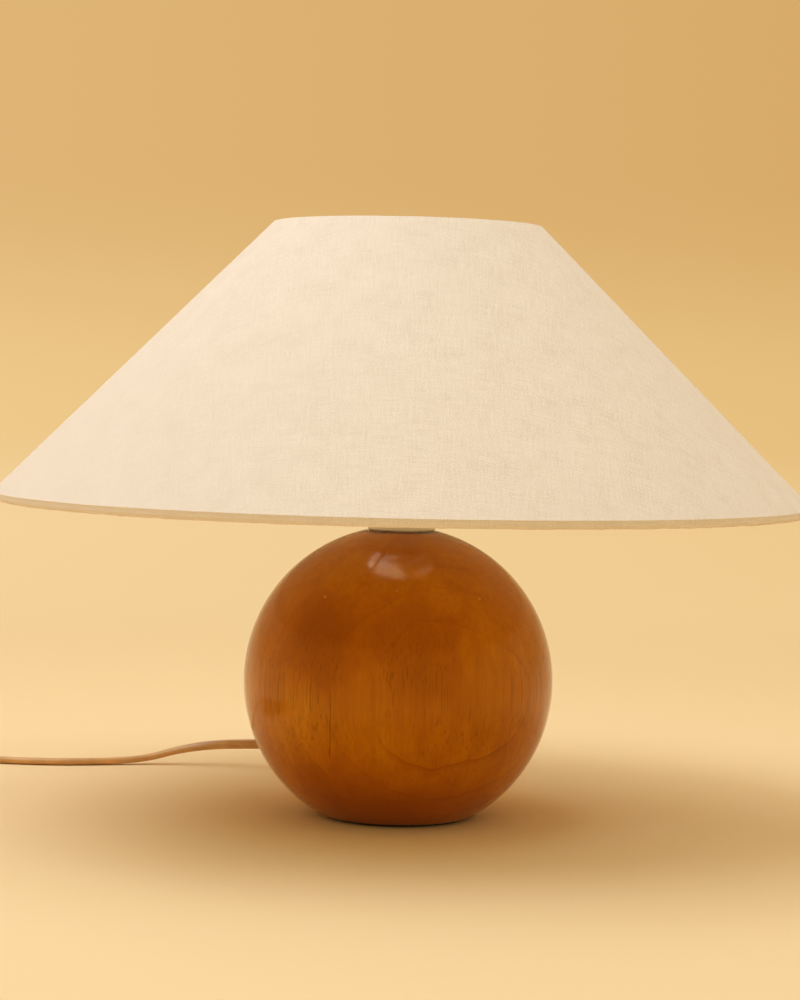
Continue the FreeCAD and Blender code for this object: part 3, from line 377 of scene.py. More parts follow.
# Wood: growth rings are cylinders about an upright axis behind the ball, and noise bends them, so they
# show as ovals on its front.
wood = {
    "axis": (-0.054, 0.140, 0.0),
    "ringPitch": 0.0122,
    "ringStart": 0.0035,
    "light": (0.690, 0.248, 0.0014),
    "middle": (0.500, 0.134, 0.0006),
    "dark": (0.300, 0.062, 0.0004),
    "pore": (0.120, 0.020, 0.0003),
    "knocked": (0.70, 0.36, 0.10),
    "bend": 0.011,
    # noise to a metre, across the grain and up it
    "noises": {
        "bend": (20.0, 20.0, 8.0),
        "fibre": (420.0, 420.0, 9.0),
        "streak": (110.0, 110.0, 3.4),
        "pore": (1000.0, 1000.0, 30.0),
        "poreZone": (24.0, 24.0, 16.0),
        "blotch": (30.0, 30.0, 24.0),
        "turning": (3.0, 3.0, 620.0),
    },
    # how much each mark takes of its colour
    "shows": {"streak": 0.30, "fibre": 0.34, "pore": 0.42, "line": 0.60, "foot": 0.92, "speck": 0.45},
    # where the one clear growth ring shows, how far it reaches and how clear it is
    "clearRing": ((0.036, -0.066, 0.044), 0.062, 0.52),
    # height of the ball's belt, and how far from it the pores start to fade and are nearly gone
    "belt": 0.0756,
    "poresFade": (0.014, 0.052),
    # a dark line of painted shade round the lampholder's foot, where the cap meets the ball, from this height
    # to that one
    "footShadeLine": (0.1584, 0.1590),
    # a single dark line in the grain: x, its half width, and its lower and upper end
    "grainLine": (-0.0347, 0.00045, 0.040, 0.079),
    # knocks in the lacquer: middle and reach
    "knocks": [
        ((-0.0015, -0.0662, 0.1314), 0.0009),
        ((-0.0400, -0.0571, 0.1263), 0.0011),
        ((0.0430, -0.0545, 0.1268), 0.0009),
    ],
    # broad patches on the ball, some the board's own tone and some painted shade, painted light and painted
    # sheen: middle, reach and how far each goes to light, or below 0 to dark
    "patches": [
        # darker upper front: the board's own tone together with painted shade under the lampshade
        ((-0.040, -0.068, 0.104), 0.046, -1.10),
        ((0.006, -0.078, 0.100), 0.042, -0.85),
        # painted shade at the top, under the lampshade
        ((0.000, -0.040, 0.150), 0.030, -0.60),
        # lighter low down in front: the board's own tone together with painted light, where the lamps reach
        # under the lampshade
        ((-0.052, -0.060, 0.062), 0.036, 1.30),
        ((-0.006, -0.078, 0.050), 0.038, 0.30),
        ((0.000, -0.074, 0.036), 0.030, 0.35),
        # painted sheen on the right and at both sides, where the lacquer reflects the room
        ((0.050, -0.064, 0.088), 0.036, 0.60),
        ((0.072, -0.030, 0.075), 0.036, 0.40),
        ((-0.078, -0.020, 0.066), 0.034, 0.90),
        # painted shade low down, next to the floor
        ((-0.014, -0.052, 0.008), 0.056, -1.80),
        ((0.034, -0.048, 0.010), 0.036, -0.60),
        # the board's own tone at the back
        ((0.060, 0.050, 0.100), 0.050, -0.40),
        ((-0.050, 0.060, 0.060), 0.045, 0.45),
    ],
}


# How far the patches, painted shade and light among them, push a spot: above 0 to light, below 0 to dark.
def patchAndPaintedLightTone(tree, place):
    tone = 0.0
    for middle, reach, amount in wood["patches"]:
        near = spread(tree, distanceTo(tree, place, middle), reach, 0.0, 0.0, amount, soft=True)
        tone = plus(tree, tone, near)
    return tone


# 1 on the single dark line at the front, 0 elsewhere.
def grainLine(tree, place):
    across, half, low, high = wood["grainLine"]
    sway = times(tree, noiseAt(tree, place, 120.0, 1), 0.0012)
    aside = absolute(tree, minus(tree, plus(tree, axisOf(tree, place, "X"), sway), across))
    mark = spread(tree, aside, half, half * 0.3)
    for edge, inside in ((low, low + 0.004), (high, high - 0.006)):
        mark = times(tree, mark, spread(tree, axisOf(tree, place, "Z"), edge, inside))
    return times(tree, mark, spread(tree, axisOf(tree, place, "Y"), 0.0, -0.02))


# Pale specks where the lacquer is knocked.
def knockMarks(tree, place):
    marks = spread(tree, noiseAt(tree, place, 330.0, 1), 0.870, 0.890)
    for middle, reach in wood["knocks"]:
        near = spread(tree, distanceTo(tree, place, middle), reach, reach * 0.5)
        marks = greater(tree, marks, near)
    return marks


def woodNoise(tree, place, kind, detail, roughness=0.5):
    return noiseAt(tree, stretched(tree, place, wood["noises"][kind]), 1.0, detail, roughness)


# Growth rings: each darkens slowly and ends in a thin late line, and comes and goes along its length.
def growthRings(tree, place, bent):
    flat = moveVector(tree, "MULTIPLY", moveVector(tree, "SUBTRACT", bent, wood["axis"]), (1.0, 1.0, 0.0))
    distance = plus(tree, lengthOf(tree, flat), wood["ringStart"])
    turn = calculate(tree, "FRACT", calculate(tree, "DIVIDE", distance, wood["ringPitch"]))
    kept = spread(tree, noiseAt(tree, bent, 34.0, 2), 0.44, 0.66, 0.03, 0.34)
    middle, reach, clear = wood["clearRing"]
    near = spread(tree, distanceTo(tree, place, middle), reach, 0.0)
    kept = plus(tree, kept, times(tree, near, clear))
    return times(tree, plus(tree, calculate(tree, "POWER", turn, 14.0), times(tree, turn, 0.30)), kept)


def makeWood():
    material, tree, shader, given = newMaterial(
        "lacqueredWood",
        IOR=1.5,
        Specular_IOR_Level=0.5,
        Specular_Tint=(1.0, 0.66, 0.20, 1),
    )
    place, shows, dark, pore = given["Object"], wood["shows"], wood["dark"], wood["pore"]
    height = axisOf(tree, place, "Z")
    bent = strayed(tree, place, stretched(tree, place, wood["noises"]["bend"]), 1.0, 3, wood["bend"])
    # broad tone: blotches of the board, and the listed patches
    blotch = spread(tree, woodNoise(tree, bent, "blotch", 4, 0.6), 0.3, 0.7)
    # the patches add painted shade and painted light to the board's tone
    tone = plus(tree, plus(tree, times(tree, blotch, -0.45), 0.5), times(tree, patchAndPaintedLightTone(tree, place), 0.62))
    base = mixColours(tree, spread(tree, tone, 0.0, 1.0), wood["middle"], wood["light"])
    base = mixColours(tree, spread(tree, tone, 0.15, -0.55, 0.0, 0.75), base, dark)
    # fibres and open pores run up and down
    streak = spread(tree, woodNoise(tree, place, "streak", 3, 0.55), 0.38, 0.72)
    base = mixColours(tree, times(tree, streak, shows["streak"]), base, dark)
    fibre = woodNoise(tree, place, "fibre", 4, 0.62)
    base = mixColours(tree, times(tree, spread(tree, fibre, 0.42, 0.78), shows["fibre"]), base, dark)
    base = mixColours(tree, growthRings(tree, place, bent), base, dark)
    # near the poles the fibres are cut across, and the lacquer has filled their ends
    fromBelt = absolute(tree, minus(tree, height, wood["belt"]))
    zone = spread(tree, woodNoise(tree, place, "poreZone", 2), 0.40, 0.60, 0.15, 1.0)
    zone = times(tree, zone, spread(tree, fromBelt, *wood["poresFade"], 1.0, 0.12))
    pores = times(tree, spread(tree, woodNoise(tree, place, "pore", 2), 0.57, 0.66), zone)
    base = mixColours(tree, times(tree, pores, shows["pore"]), base, pore)
    base = mixColours(tree, times(tree, grainLine(tree, place), shows["line"]), base, pore)
    # painted shade in the join under the lampholder's cap
    foot = spread(tree, height, *wood["footShadeLine"])
    base = mixColours(tree, times(tree, foot, shows["foot"]), base, pore)
    speck = knockMarks(tree, place)
    base = mixColours(tree, times(tree, speck, shows["speck"]), base, wood["knocked"])
    tree.links.new(base, shader.inputs["Base Color"])
    haze = spread(tree, noiseAt(tree, place, 26.0, 3), 0.3, 0.7, 0.115, 0.165)
    tree.links.new(plus(tree, haze, times(tree, speck, 0.3)), shader.inputs["Roughness"])
    # faint turning marks go round under the lacquer, clearer above the belt
    marks = woodNoise(tree, place, "turning", 2, 0.6)
    marks = times(tree, marks, spread(tree, height, 0.085, 0.125, 0.3, 0.8))
    relief = plus(tree, minus(tree, marks, times(tree, pores, 0.5)), times(tree, fibre, 0.3))
    addRelief(tree, shader, relief, 0.00004, 0.3)
    return material


# Linen, laid flat before it was glued to its liner, so its threads run straight in the flat cut.
linen = {
    "thread": 0.00056,
    "light": (0.985, 0.875, 0.790),
    "dark": (0.740, 0.605, 0.505),
    # painted light: from this x to that one, and how clearly the weave's tone shows at each, faint where the
    # lamp falls full on the shade and strong where it grazes it
    "weaveUnderLight": (-0.19, 0.06, 0.14, 1.05),
    # how far broad patches go to the dark tone
    "drift": 0.10,
    # how far a thread stands out in metres, and how strongly
    "relief": (0.00011, 0.5),
}


def makeLinen():
    material, tree, shader, given = newMaterial(
        "linenCover", Roughness=0.92, Specular_IOR_Level=0.12, Sheen_Weight=0.12, Sheen_Roughness=0.5
    )
    # painted light: the weave's tone fades on the fully lit left of the shade and shows on the right, where
    # the light grazes it
    clear = spread(tree, axisOf(tree, given["Object"], "X"), *linen["weaveUnderLight"])
    inputs = {"Place": given["UV"], "Thread": linen["thread"], "Clear": clear}
    cloth = useGroup(tree, clothWeave, inputs).outputs
    base = mixColours(tree, cloth["Tone"], linen["dark"], linen["light"])
    drift = spread(tree, noiseAt(tree, given["Object"], 22.0, 2), 0.3, 0.7, 0.0, linen["drift"])
    tree.links.new(mixColours(tree, drift, base, linen["dark"]), shader.inputs["Base Color"])
    addRelief(tree, shader, cloth["Height"], *linen["relief"])
    return material


# Flat twin lead: clear gold sheath over two stranded copper cores. Its UV is (along, across), in metres.
leadLook = {
    "light": (0.72, 0.405, 0.145),
    "dark": (0.54, 0.285, 0.090),
    "copper": (0.42, 0.195, 0.055),
    # the cores' place and half width, the length of a strand's turn, and how much they show
    "coreAt": 0.00128,
    "coreHalf": 0.00085,
    "strand": 0.0042,
    "slant": 420.0,
    "coreShows": 0.32,
}


def makeLeadPlastic(name, mapped=True):
    material, tree, shader, given = newMaterial(
        name,
        Roughness=0.36,
        Subsurface_Weight=0.35,
        Subsurface_Scale=0.002,
        Coat_Weight=0.1,
        Coat_Roughness=0.2,
    )
    place = given["Object"]
    sheath = driftingTone(tree, place, 60.0, leadLook["light"], leadLook["dark"])
    if mapped:
        run, across = axisOf(tree, given["UV"], "X"), axisOf(tree, given["UV"], "Y")
        fromCore = minus(tree, absolute(tree, across), leadLook["coreAt"])
        depth = calculate(tree, "DIVIDE", absolute(tree, fromCore), leadLook["coreHalf"])
        turns = plus(
            tree, calculate(tree, "DIVIDE", run, leadLook["strand"]), times(tree, across, leadLook["slant"])
        )
        strand = calculate(tree, "SINE", times(tree, turns, 2 * math.pi))
        between = spread(tree, strand, -1.0, 1.0, 0.0, 0.35)
        copper = mixColours(tree, between, leadLook["copper"], leadLook["dark"])
        core = times(tree, spread(tree, depth, 1.1, 0.35), leadLook["coreShows"])
        sheath = mixColours(tree, core, sheath, copper)
    tree.links.new(sheath, shader.inputs["Base Color"])
    addGrain(tree, shader, place, 1400.0, 0.36, 0.12, 0.00001)
    return material


def makeGlass():
    material, tree, shader, given = newMaterial(
        "bulbGlass", Base_Color=(0.98, 0.98, 0.97, 1), Roughness=0.02, Transmission_Weight=1.0, IOR=1.45
    )
    addGrain(tree, shader, given["Object"], 90.0, 0.025, 0.02, 0.00004, 0.25)
    return material


def makeFelt():
    material, tree, shader, given = newMaterial(
        "brownFelt", Roughness=0.95, Sheen_Weight=0.35, Sheen_Roughness=0.6, Specular_IOR_Level=0.1
    )
    tone = driftingTone(tree, given["Object"], 140.0, (0.050, 0.036, 0.022), (0.024, 0.017, 0.011))
    tree.links.new(tone, shader.inputs["Base Color"])
    addRelief(tree, shader, noiseAt(tree, given["Object"], 1600.0, 4, 0.7), 0.0004, 0.8)
    return material


metal = {"Metallic": 1.0}
# Plain finishes by slot: light tone, dark tone, patches and grains to a metre, roughness and its
# change, the grain's depth in metres, and what the shader's own sockets say.
finishes = {
    "plated_steel": ((0.62, 0.60, 0.56), (0.46, 0.44, 0.41), 90, 2600, 0.28, 0.14, 0.00002, metal),
    "cream_plastic": (
        (0.95, 0.89, 0.77), (0.89, 0.82, 0.68), 30, 1900, 0.36, 0.10, 0.00002, {"Coat_Weight": 0.15}
    ),
    "porcelain": ((0.84, 0.80, 0.72), (0.76, 0.71, 0.62), 50, 500, 0.22, 0.08, 0.00003, {"Coat_Weight": 0.6}),
    "brass": ((0.78, 0.55, 0.22), (0.55, 0.36, 0.13), 120, 2400, 0.30, 0.16, 0.00002, metal),
    "white_wire": (
        (0.82, 0.80, 0.76), (0.72, 0.70, 0.65), 70, 1500, 0.34, 0.12, 0.00003, {"Coat_Weight": 0.3}
    ),
    "liner_plastic": ((0.86, 0.81, 0.72), (0.80, 0.74, 0.64), 14, 700, 0.48, 0.10, 0.00003, {}),
    "bulb_metal": ((0.74, 0.72, 0.68), (0.58, 0.56, 0.52), 110, 2200, 0.26, 0.12, 0.00002, metal),
    "black_glass": ((0.020, 0.018, 0.020), (0.008, 0.008, 0.010), 200, 900, 0.12, 0.06, 0.00002, {}),
    "filament_wire": ((0.30, 0.29, 0.28), (0.18, 0.175, 0.17), 300, 3000, 0.38, 0.10, 0.00002, metal),
    "core_brown": ((0.16, 0.060, 0.022), (0.11, 0.040, 0.015), 200, 2000, 0.38, 0.10, 0.00002, {}),
    "core_blue": ((0.045, 0.13, 0.34), (0.030, 0.09, 0.25), 200, 2000, 0.38, 0.10, 0.00002, {}),
    "switch_plastic": (
        (0.58, 0.41, 0.20), (0.50, 0.34, 0.155), 40, 1700, 0.33, 0.10, 0.00002, {"Coat_Weight": 0.1}
    ),
    "pin_metal": ((0.80, 0.76, 0.66), (0.66, 0.61, 0.50), 160, 2600, 0.24, 0.12, 0.00002, metal),
}


def makeMaterials():
    made = {
        "lacquered_wood": makeWood(),
        "felt": makeFelt(),
        "linen": makeLinen(),
        "bulb_glass": makeGlass(),
        "lead_plastic": makeLeadPlastic("leadPlastic", mapped=False),
    }
    for slot, (*look, settings) in finishes.items():
        first, *others = slot.split("_")
        made[slot] = plainFinish(first + "".join(word.capitalize() for word in others), *look, **settings)
    return made


materials = makeMaterials()
for node in nodes.values():
    for place in node.material_slots:
        place.material = materials[place.material.name]
leadMapped = makeLeadPlastic("leadSheath")
print("materials:", len(materials) + 1)


# Small helpers for Geometry Nodes. A tree has one named input for each size in its piece's dictionary.
def newGrowth(name, sizes):
    tree = bpy.data.node_groups.new(name, "GeometryNodeTree")
    for flow in ("INPUT", "OUTPUT"):
        tree.interface.new_socket("Geometry", in_out=flow, socket_type="NodeSocketGeometry")
    kinds = {int: "NodeSocketInt", float: "NodeSocketFloat", tuple: "NodeSocketVector"}
    for label, size in sizes.items():
        socket = tree.interface.new_socket(label, in_out="INPUT", socket_type=kinds[type(size)])
        socket.default_value = size
    return tree, tree.nodes.new("NodeGroupInput").outputs, tree.nodes.new("NodeGroupOutput").inputs


def endGrowth(tree, result, shape, material):
    smooth = addNode(tree, "GeometryNodeSetShadeSmooth", {"Geometry": shape})
    real = addNode(tree, "GeometryNodeRealizeInstances", {"Geometry": smooth.outputs["Geometry"]})
    finish = {"Geometry": real.outputs["Geometry"], "Material": material}
    dressed = addNode(tree, "GeometryNodeSetMaterial", finish)
    tree.links.new(dressed.outputs["Geometry"], result["Geometry"])
    return tree


# Grows a piece by the tree that makeTree builds, and keeps it as a plain mesh.
def grow(name, makeTree, sizes, body, slot):
    tree = makeTree(sizes, materials[slot])
    seed = newPiece(name + "Seed", [], [])
    modifier = seed.modifiers.new("growth", "NODES")
    modifier.node_group = tree
    for item in tree.interface.items_tree:
        if item.in_out == "INPUT" and item.name in sizes:
            modifier[item.identifier] = sizes[item.name]
    mesh = finishedMesh(seed)
    seed.modifiers.remove(modifier)
    bpy.data.objects.remove(seed)
    mesh.name = name
    piece = newObject(name, mesh)
    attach(piece, body)
    print(name + ":", len(mesh.polygons), "faces")
    return piece


def vectorOf(tree, **axes):
    return addNode(tree, "ShaderNodeCombineXYZ", axes).outputs["Vector"]


def pointsInLine(tree, given):
    inputs = {"Count": given["Count"], "Start Location": given["First"], "Offset": given["Step"]}
    return addNode(tree, "GeometryNodeMeshLine", inputs).outputs["Mesh"]


def circleOf(tree, corners, radius):
    inputs = {"Resolution": corners, "Radius": radius}
    return addNode(tree, "GeometryNodeCurvePrimitiveCircle", inputs).outputs["Curve"]


# A round bar along a curve. girth thins it from place to place, and its ends are closed.
def roundBar(tree, curve, corners, radius, girth):
    inputs = {
        "Curve": curve,
        "Profile Curve": circleOf(tree, corners, radius),
        "Scale": girth,
        "Fill Caps": True,
    }
    return addNode(tree, "GeometryNodeCurveToMesh", inputs).outputs["Mesh"]


def copiesAt(tree, points, shape, **inputs):
    inputs = {"Points": points, "Instance": shape, **inputs}
    return addNode(tree, "GeometryNodeInstanceOnPoints", inputs).outputs["Instances"]


def shifted(tree, shape, **inputs):
    return addNode(tree, "GeometryNodeTransform", {"Geometry": shape, **inputs}).outputs["Geometry"]


# Rings that follow each other along a line, each a little wider or narrower than the last.
def ringsTree(sizes, material):
    tree, given, result = newGrowth("ringsOnSleeve", sizes)
    curves = {
        "Curve": circleOf(tree, 40, given["Radius"]),
        "Profile Curve": circleOf(tree, 10, given["Thickness"]),
    }
    ring = addNode(tree, "GeometryNodeCurveToMesh", curves).outputs["Mesh"]
    index = tree.nodes.new("GeometryNodeInputIndex").outputs["Index"]
    size = minus(tree, 1.0, times(tree, index, given["Taper"]))
    rings = copiesAt(tree, pointsInLine(tree, given), ring, Rotation=(math.pi / 2, 0.0, 0.0), Scale=size)
    return endGrowth(tree, result, rings, material)


# Rounded bars that lie across a face, each longer than the last as the face widens.
def barsTree(sizes, material):
    tree, given, result = newGrowth("barsOnPlug", sizes)
    half = given["Half length"]
    ends = {"Start": vectorOf(tree, X=times(tree, half, -1.0)), "End": vectorOf(tree, X=half)}
    spine = addNode(tree, "GeometryNodeCurvePrimitiveLine", ends).outputs["Curve"]
    split = addNode(tree, "GeometryNodeResampleCurve", {"Curve": spine, "Count": 9}).outputs["Curve"]
    # the bar thins towards its ends
    share = tree.nodes.new("GeometryNodeSplineParameter").outputs["Factor"]
    off = absolute(tree, minus(tree, times(tree, share, 2.0), 1.0))
    girth = calculate(tree, "SQRT", minus(tree, 1.02, calculate(tree, "POWER", off, 8.0)))
    bar = roundBar(tree, split, 10, given["Thickness"], girth)
    index = tree.nodes.new("GeometryNodeInputIndex").outputs["Index"]
    longer = plus(tree, 1.0, times(tree, index, given["Growth"]))
    bars = copiesAt(tree, pointsInLine(tree, given), bar, Scale=vectorOf(tree, X=longer, Y=1.0, Z=1.0))
    return endGrowth(tree, result, bars, material)


# A ridge that winds up a barrel, as a moulded thread does.
def threadTree(sizes, material):
    tree, given, result = newGrowth("threadOnBarrel", sizes)
    inputs = {
        "Resolution": 72,
        "Rotations": given["Turns"],
        "Start Radius": given["Radius"],
        "End Radius": given["Radius"],
        "Height": given["Height"],
    }
    winding = addNode(tree, "GeometryNodeCurveSpiral", inputs).outputs["Curve"]
    # the ridge runs out at both ends
    share = tree.nodes.new("GeometryNodeSplineParameter").outputs["Factor"]
    toEnd = calculate(tree, "MINIMUM", share, minus(tree, 1.0, share))
    ridge = roundBar(tree, winding, 8, given["Ridge"], spread(tree, toEnd, 0.0, 0.05, 0.15, 1.0))
    raised = shifted(tree, ridge, Translation=vectorOf(tree, Z=given["Low"]))
    return endGrowth(tree, result, raised, material)


# Uneven beads of weld set out evenly on two circles, where the spokes meet the two rings.
def beadsTree(sizes, material):
    tree, given, result = newGrowth("beadsOnSpokes", sizes)
    spots = tree.nodes.new("GeometryNodeJoinGeometry")
    for which in ("Inner", "Outer"):
        inputs = {"Vertices": given["Spokes"], "Radius": given[which + " radius"]}
        circle = addNode(tree, "GeometryNodeMeshCircle", inputs).outputs["Mesh"]
        lift = vectorOf(tree, Z=given[which + " height"])
        turn = vectorOf(tree, Z=given["Start angle"])
        tree.links.new(shifted(tree, circle, Translation=lift, Rotation=turn), spots.inputs["Geometry"])
    inputs = {"Radius": given["Bead"], "Subdivisions": 3}
    drop = addNode(tree, "GeometryNodeMeshIcoSphere", inputs).outputs["Mesh"]
    low = vectorOf(tree, X=1.0, Y=1.0, Z=given["Flatness"])
    beads = copiesAt(tree, spots.outputs["Geometry"], drop, Scale=low)
    real = addNode(tree, "GeometryNodeRealizeInstances", {"Geometry": beads}).outputs["Geometry"]
    here = tree.nodes.new("GeometryNodeInputPosition").outputs["Position"]
    inputs = {"Vector": here, "W": given["Seed"], "Scale": given["Bumps"], "Detail": 1.0}
    bumps = addNode(tree, "ShaderNodeTexNoise", inputs, noise_dimensions="4D").outputs["Color"]
    shift = moveVector(tree, "SUBTRACT", bumps, (0.5, 0.5, 0.5))
    inputs = {"Geometry": real, "Offset": scaleVector(tree, shift, given["Unevenness"])}
    uneven = addNode(tree, "GeometryNodeSetPosition", inputs).outputs["Geometry"]
    return endGrowth(tree, result, uneven, material)


# Grips on the plug and its sleeve. The plug's back slopes and widens towards its pins.
plugGrips = {
    "rings": {
        "Count": 6,
        "First": (-0.2585, 0.0285, 0.00685),
        "Step": (0.0, -0.0024, 0.0),
        "Radius": 0.00455,
        "Thickness": 0.0005,
        "Taper": 0.036,
    },
    "bars": {
        "Count": 6,
        "First": (-0.2585, 0.0325, 0.01275),
        "Step": (0.0, 0.0021, 0.000165),
        "Half length": 0.0055,
        "Thickness": 0.0005,
        "Growth": 0.17,
    },
}
sleeveRings = grow("sleeveRings", ringsTree, plugGrips["rings"], "base", "switch_plastic")
gripBars = grow("gripBars", barsTree, plugGrips["bars"], "base", "switch_plastic")


# The free lead. Its points repeat the solids' route, and its coil's turns are worked out below.
lead = {
    "width": 0.006,
    "thickness": 0.0038,
    "waist": 0.05,
    "around": 20,
    "toSwitch": 0.42,
    "toPlug": 1.31,
    # shares of a lead's length where its broad side starts to turn over, and over how much of it
    "turnsFlat": (0.30, 0.22),
    "turnsUp": 0.035,
    "turnsBack": (0.975, 0.025),
}
lampRoute = [
    (0.0, 0.0767, 0.0160),
    (0.0, 0.0980, 0.0160),
    (-0.007, 0.1210, 0.0164),
    (-0.025, 0.1420, 0.0166),
    (-0.054, 0.1570, 0.0154),
    (-0.085, 0.1650, 0.0138),
    (-0.114, 0.1675, 0.0126),
    (-0.137, 0.1665, 0.0090),
    (-0.156, 0.1635, 0.0034),
    (-0.176, 0.1580, 0.0021),
    (-0.200, 0.1515, 0.0022),
    (-0.224, 0.1495, 0.0021),
    (-0.248, 0.1525, 0.0021),
    (-0.276, 0.1530, 0.0030),
    (-0.302, 0.1410, 0.0056),
    (-0.318, 0.1170, 0.0076),
    (-0.322, 0.0900, 0.0085),
]
coilRoute = [
    (-0.322, 0.032, 0.0085),
    (-0.3226, 0.019, 0.0081),
    (-0.326, 0.004, 0.0064),
    (-0.332, -0.010, 0.0044),
    (-0.336, -0.023, 0.0034),
]
plugRoute = [
    (-0.2565, -0.022, 0.0093),
    (-0.2567, -0.010, 0.0088),
    (-0.2579, 0.002, 0.0075),
    (-0.2585, 0.0136, 0.00685),
]
coil = {
    "centre": (-0.297, -0.030),
    "outer": 0.0405,
    "inner": 0.0295,
    "low": 0.0032,
    "high": 0.0093,
    "turns": 5.5,
    "perTurn": 16,
    "rise": 0.09,
}


# In towards the middle on the floor, then out again on top, against the clock as seen from above.
def coilTurns():
    count = int(coil["turns"] * coil["perTurn"])
    turns = []
    for index in range(count + 1):
        share = index / count
        angle = math.pi + share * coil["turns"] * 2 * math.pi
        inward = 1 - abs(2 * share - 1)
        radius = coil["outer"] - (coil["outer"] - coil["inner"]) * inward
        lift = smoothStep((share - 0.5) / coil["rise"] + 0.5)
        turns.append(
            (
                coil["centre"][0] + radius * math.cos(angle),
                coil["centre"][1] + radius * math.sin(angle),
                coil["low"] + (coil["high"] - coil["low"]) * lift,
            )
        )
    return turns


# Two round cores side by side in one sheath: (across the broad side, through the thin one).
def flexSection():
    half = lead["thickness"] / 2
    reach = lead["width"] / 2 - half
    section = []
    for index in range(lead["around"]):
        angle = 2 * math.pi * (index + 0.5) / lead["around"]
        across = math.copysign(reach, math.cos(angle)) + half * math.cos(angle)
        pinch = 1 - lead["waist"] * math.exp(-((across / (half * 0.5)) ** 2))
        section.append((across, half * math.sin(angle) * pinch))
    return section


# laid(share) turns the broad side from upright, 0, to flat on the floor, 1.
def sweepLead(name, places, laid):
    section = flexSection()
    around = len(section)
    runs = [0.0]
    for before, here in zip(places, places[1:]):
        runs.append(runs[-1] + (here - before).length)
    vertices = []
    up = Vector((0, 0, 1))
    for index, here in enumerate(places):
        before, after = places[max(index - 1, 0)], places[min(index + 1, len(places) - 1)]
        ahead = (after - before).normalized()
        level = ahead.cross(up).normalized()
        raised = level.cross(ahead)
        turn = laid(runs[index] / runs[-1]) * math.pi / 2
        broad = math.cos(turn) * raised + math.sin(turn) * level
        thin = ahead.cross(broad)
        vertices += [here + broad * across + thin * through for across, through in section]
    faces = gridFaces(len(places), around, True)
    uv = []
    for row in range(len(places) - 1):
        for column in range(around):
            following = (column + 1) % around
            uv += [
                (runs[row], section[column][0]),
                (runs[row], section[following][0]),
                (runs[row + 1], section[following][0]),
                (runs[row + 1], section[column][0]),
            ]
    last = (len(places) - 1) * around
    faces.append(tuple(range(around - 1, -1, -1)))
    faces.append(tuple(range(last, last + around)))
    uv += [(0.0, section[column][0]) for column in range(around - 1, -1, -1)]
    uv += [(runs[-1], section[column][0]) for column in range(around)]
    return newPiece(name, vertices, faces, leadMapped, uv)


def layLead():
    first = centreLine("lampRoute", lampRoute)
    second = centreLine("plugRoute", coilRoute + coilTurns() + plugRoute)
    # upright where it leaves the ball, flat from where it meets the floor, upright again in the coil
    (flatAt, flatOver), up, (backAt, backOver) = lead["turnsFlat"], lead["turnsUp"], lead["turnsBack"]
    toSwitch = sweepLead("leadToSwitch", first, lambda share: smoothStep((share - flatAt) / flatOver))
    toPlug = sweepLead(
        "leadToPlug",
        second,
        lambda share: max(smoothStep(1 - share / up), smoothStep((share - backAt) / backOver)),
    )
    for piece in (toSwitch, toPlug):
        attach(piece, "base")
    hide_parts("cord_to_switch")
    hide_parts("cord_to_coil", "cord_coil", "cord_to_plug")


layLead()
print("lead laid")


# The turned ball: the solid's own mesh with its sphere cut finer, so that the lacquer reflects cleanly.
ball = {
    "radius": 0.0862,
    "centre": (0.0, 0.0, 0.0756),
    "onSphere": 0.00002,
    "longEdge": 0.0012,
    "cuts": 3,
    "crease": 30,
}


def makeBall():
    work = bmesh.new()
    work.from_mesh(nodes["ball_base"].data)
    bmesh.ops.remove_doubles(work, verts=work.verts, dist=0.000001)
    centre = Vector(ball["centre"])

    def onSphere(vertex):
        return abs((vertex.co - centre).length - ball["radius"]) < ball["onSphere"]

    edges = [
        edge
        for edge in work.edges
        if edge.calc_length() > ball["longEdge"] and onSphere(edge.verts[0]) and onSphere(edge.verts[1])
    ]
    cut = bmesh.ops.subdivide_edges(work, edges=edges, cuts=ball["cuts"], use_grid_fill=True)
    for part in cut["geom_inner"]:
        if isinstance(part, bmesh.types.BMVert):
            part.co = centre + (part.co - centre).normalized() * ball["radius"]
    bmesh.ops.triangulate(work, faces=work.faces)
    mesh = bpy.data.meshes.new("turnedBall")
    work.to_mesh(mesh)
    work.free()
    mesh.materials.append(materials["lacquered_wood"])
    mesh.polygons.foreach_set("use_smooth", [True] * len(mesh.polygons))
    mesh.set_sharp_from_angle(angle=math.radians(ball["crease"]))
    piece = newObject("turnedBall", mesh)
    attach(piece, "base")
    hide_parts("ball_base")
    print("ball:", len(mesh.polygons), "faces")


makeBall()


# Shade: cone of linen glued to a white liner, with its edges turned round two wires. Lengths are in
# metres, and a wire's place is its radius and height.
shade = {
    "wrapInner": 0.0022,
    "wrapOuter": 0.0028,
    "overhang": 0.0016,
    # how far the turned cloth bellies out beyond a tight wrap
    "belly": {"bottom": 0.0009, "top": 0.0002},
    "bottom": (0.2225, 0.1774),
    "top": (0.0737, 0.3262),
    "cloth": 0.0006,
    "columns": 360,
    "rows": 44,
    "seam": 0.011,
    "seamRise": 0.006,
    # ripples of the glued cloth and puckers of its turned edge: height, and noise around and along it
    "ripple": (0.00012, 3, 25),
    "pucker": (0.00022, 170, 260),
    "hemSteps": 12,
    "crease": 40,
}
slantCosine = math.cos(math.radians(45))


# A place (radius, height) at a depth outwards from a wire's middle and a run up the wall from it.
def onWall(end, depth, run):
    radius, height = shade[end]
    return radius + (depth - run) * slantCosine, height + (depth + run) * slantCosine


# Where a place on the cone lies in the flat cut. Turn is 0 at the front.
def flatPattern(radius, turn):
    slant = radius / slantCosine
    return slant * math.cos(turn * slantCosine), slant * math.sin(turn * slantCosine)


def onCone(radius, height, turn):
    return (radius * math.sin(turn), -radius * math.cos(turn), height)


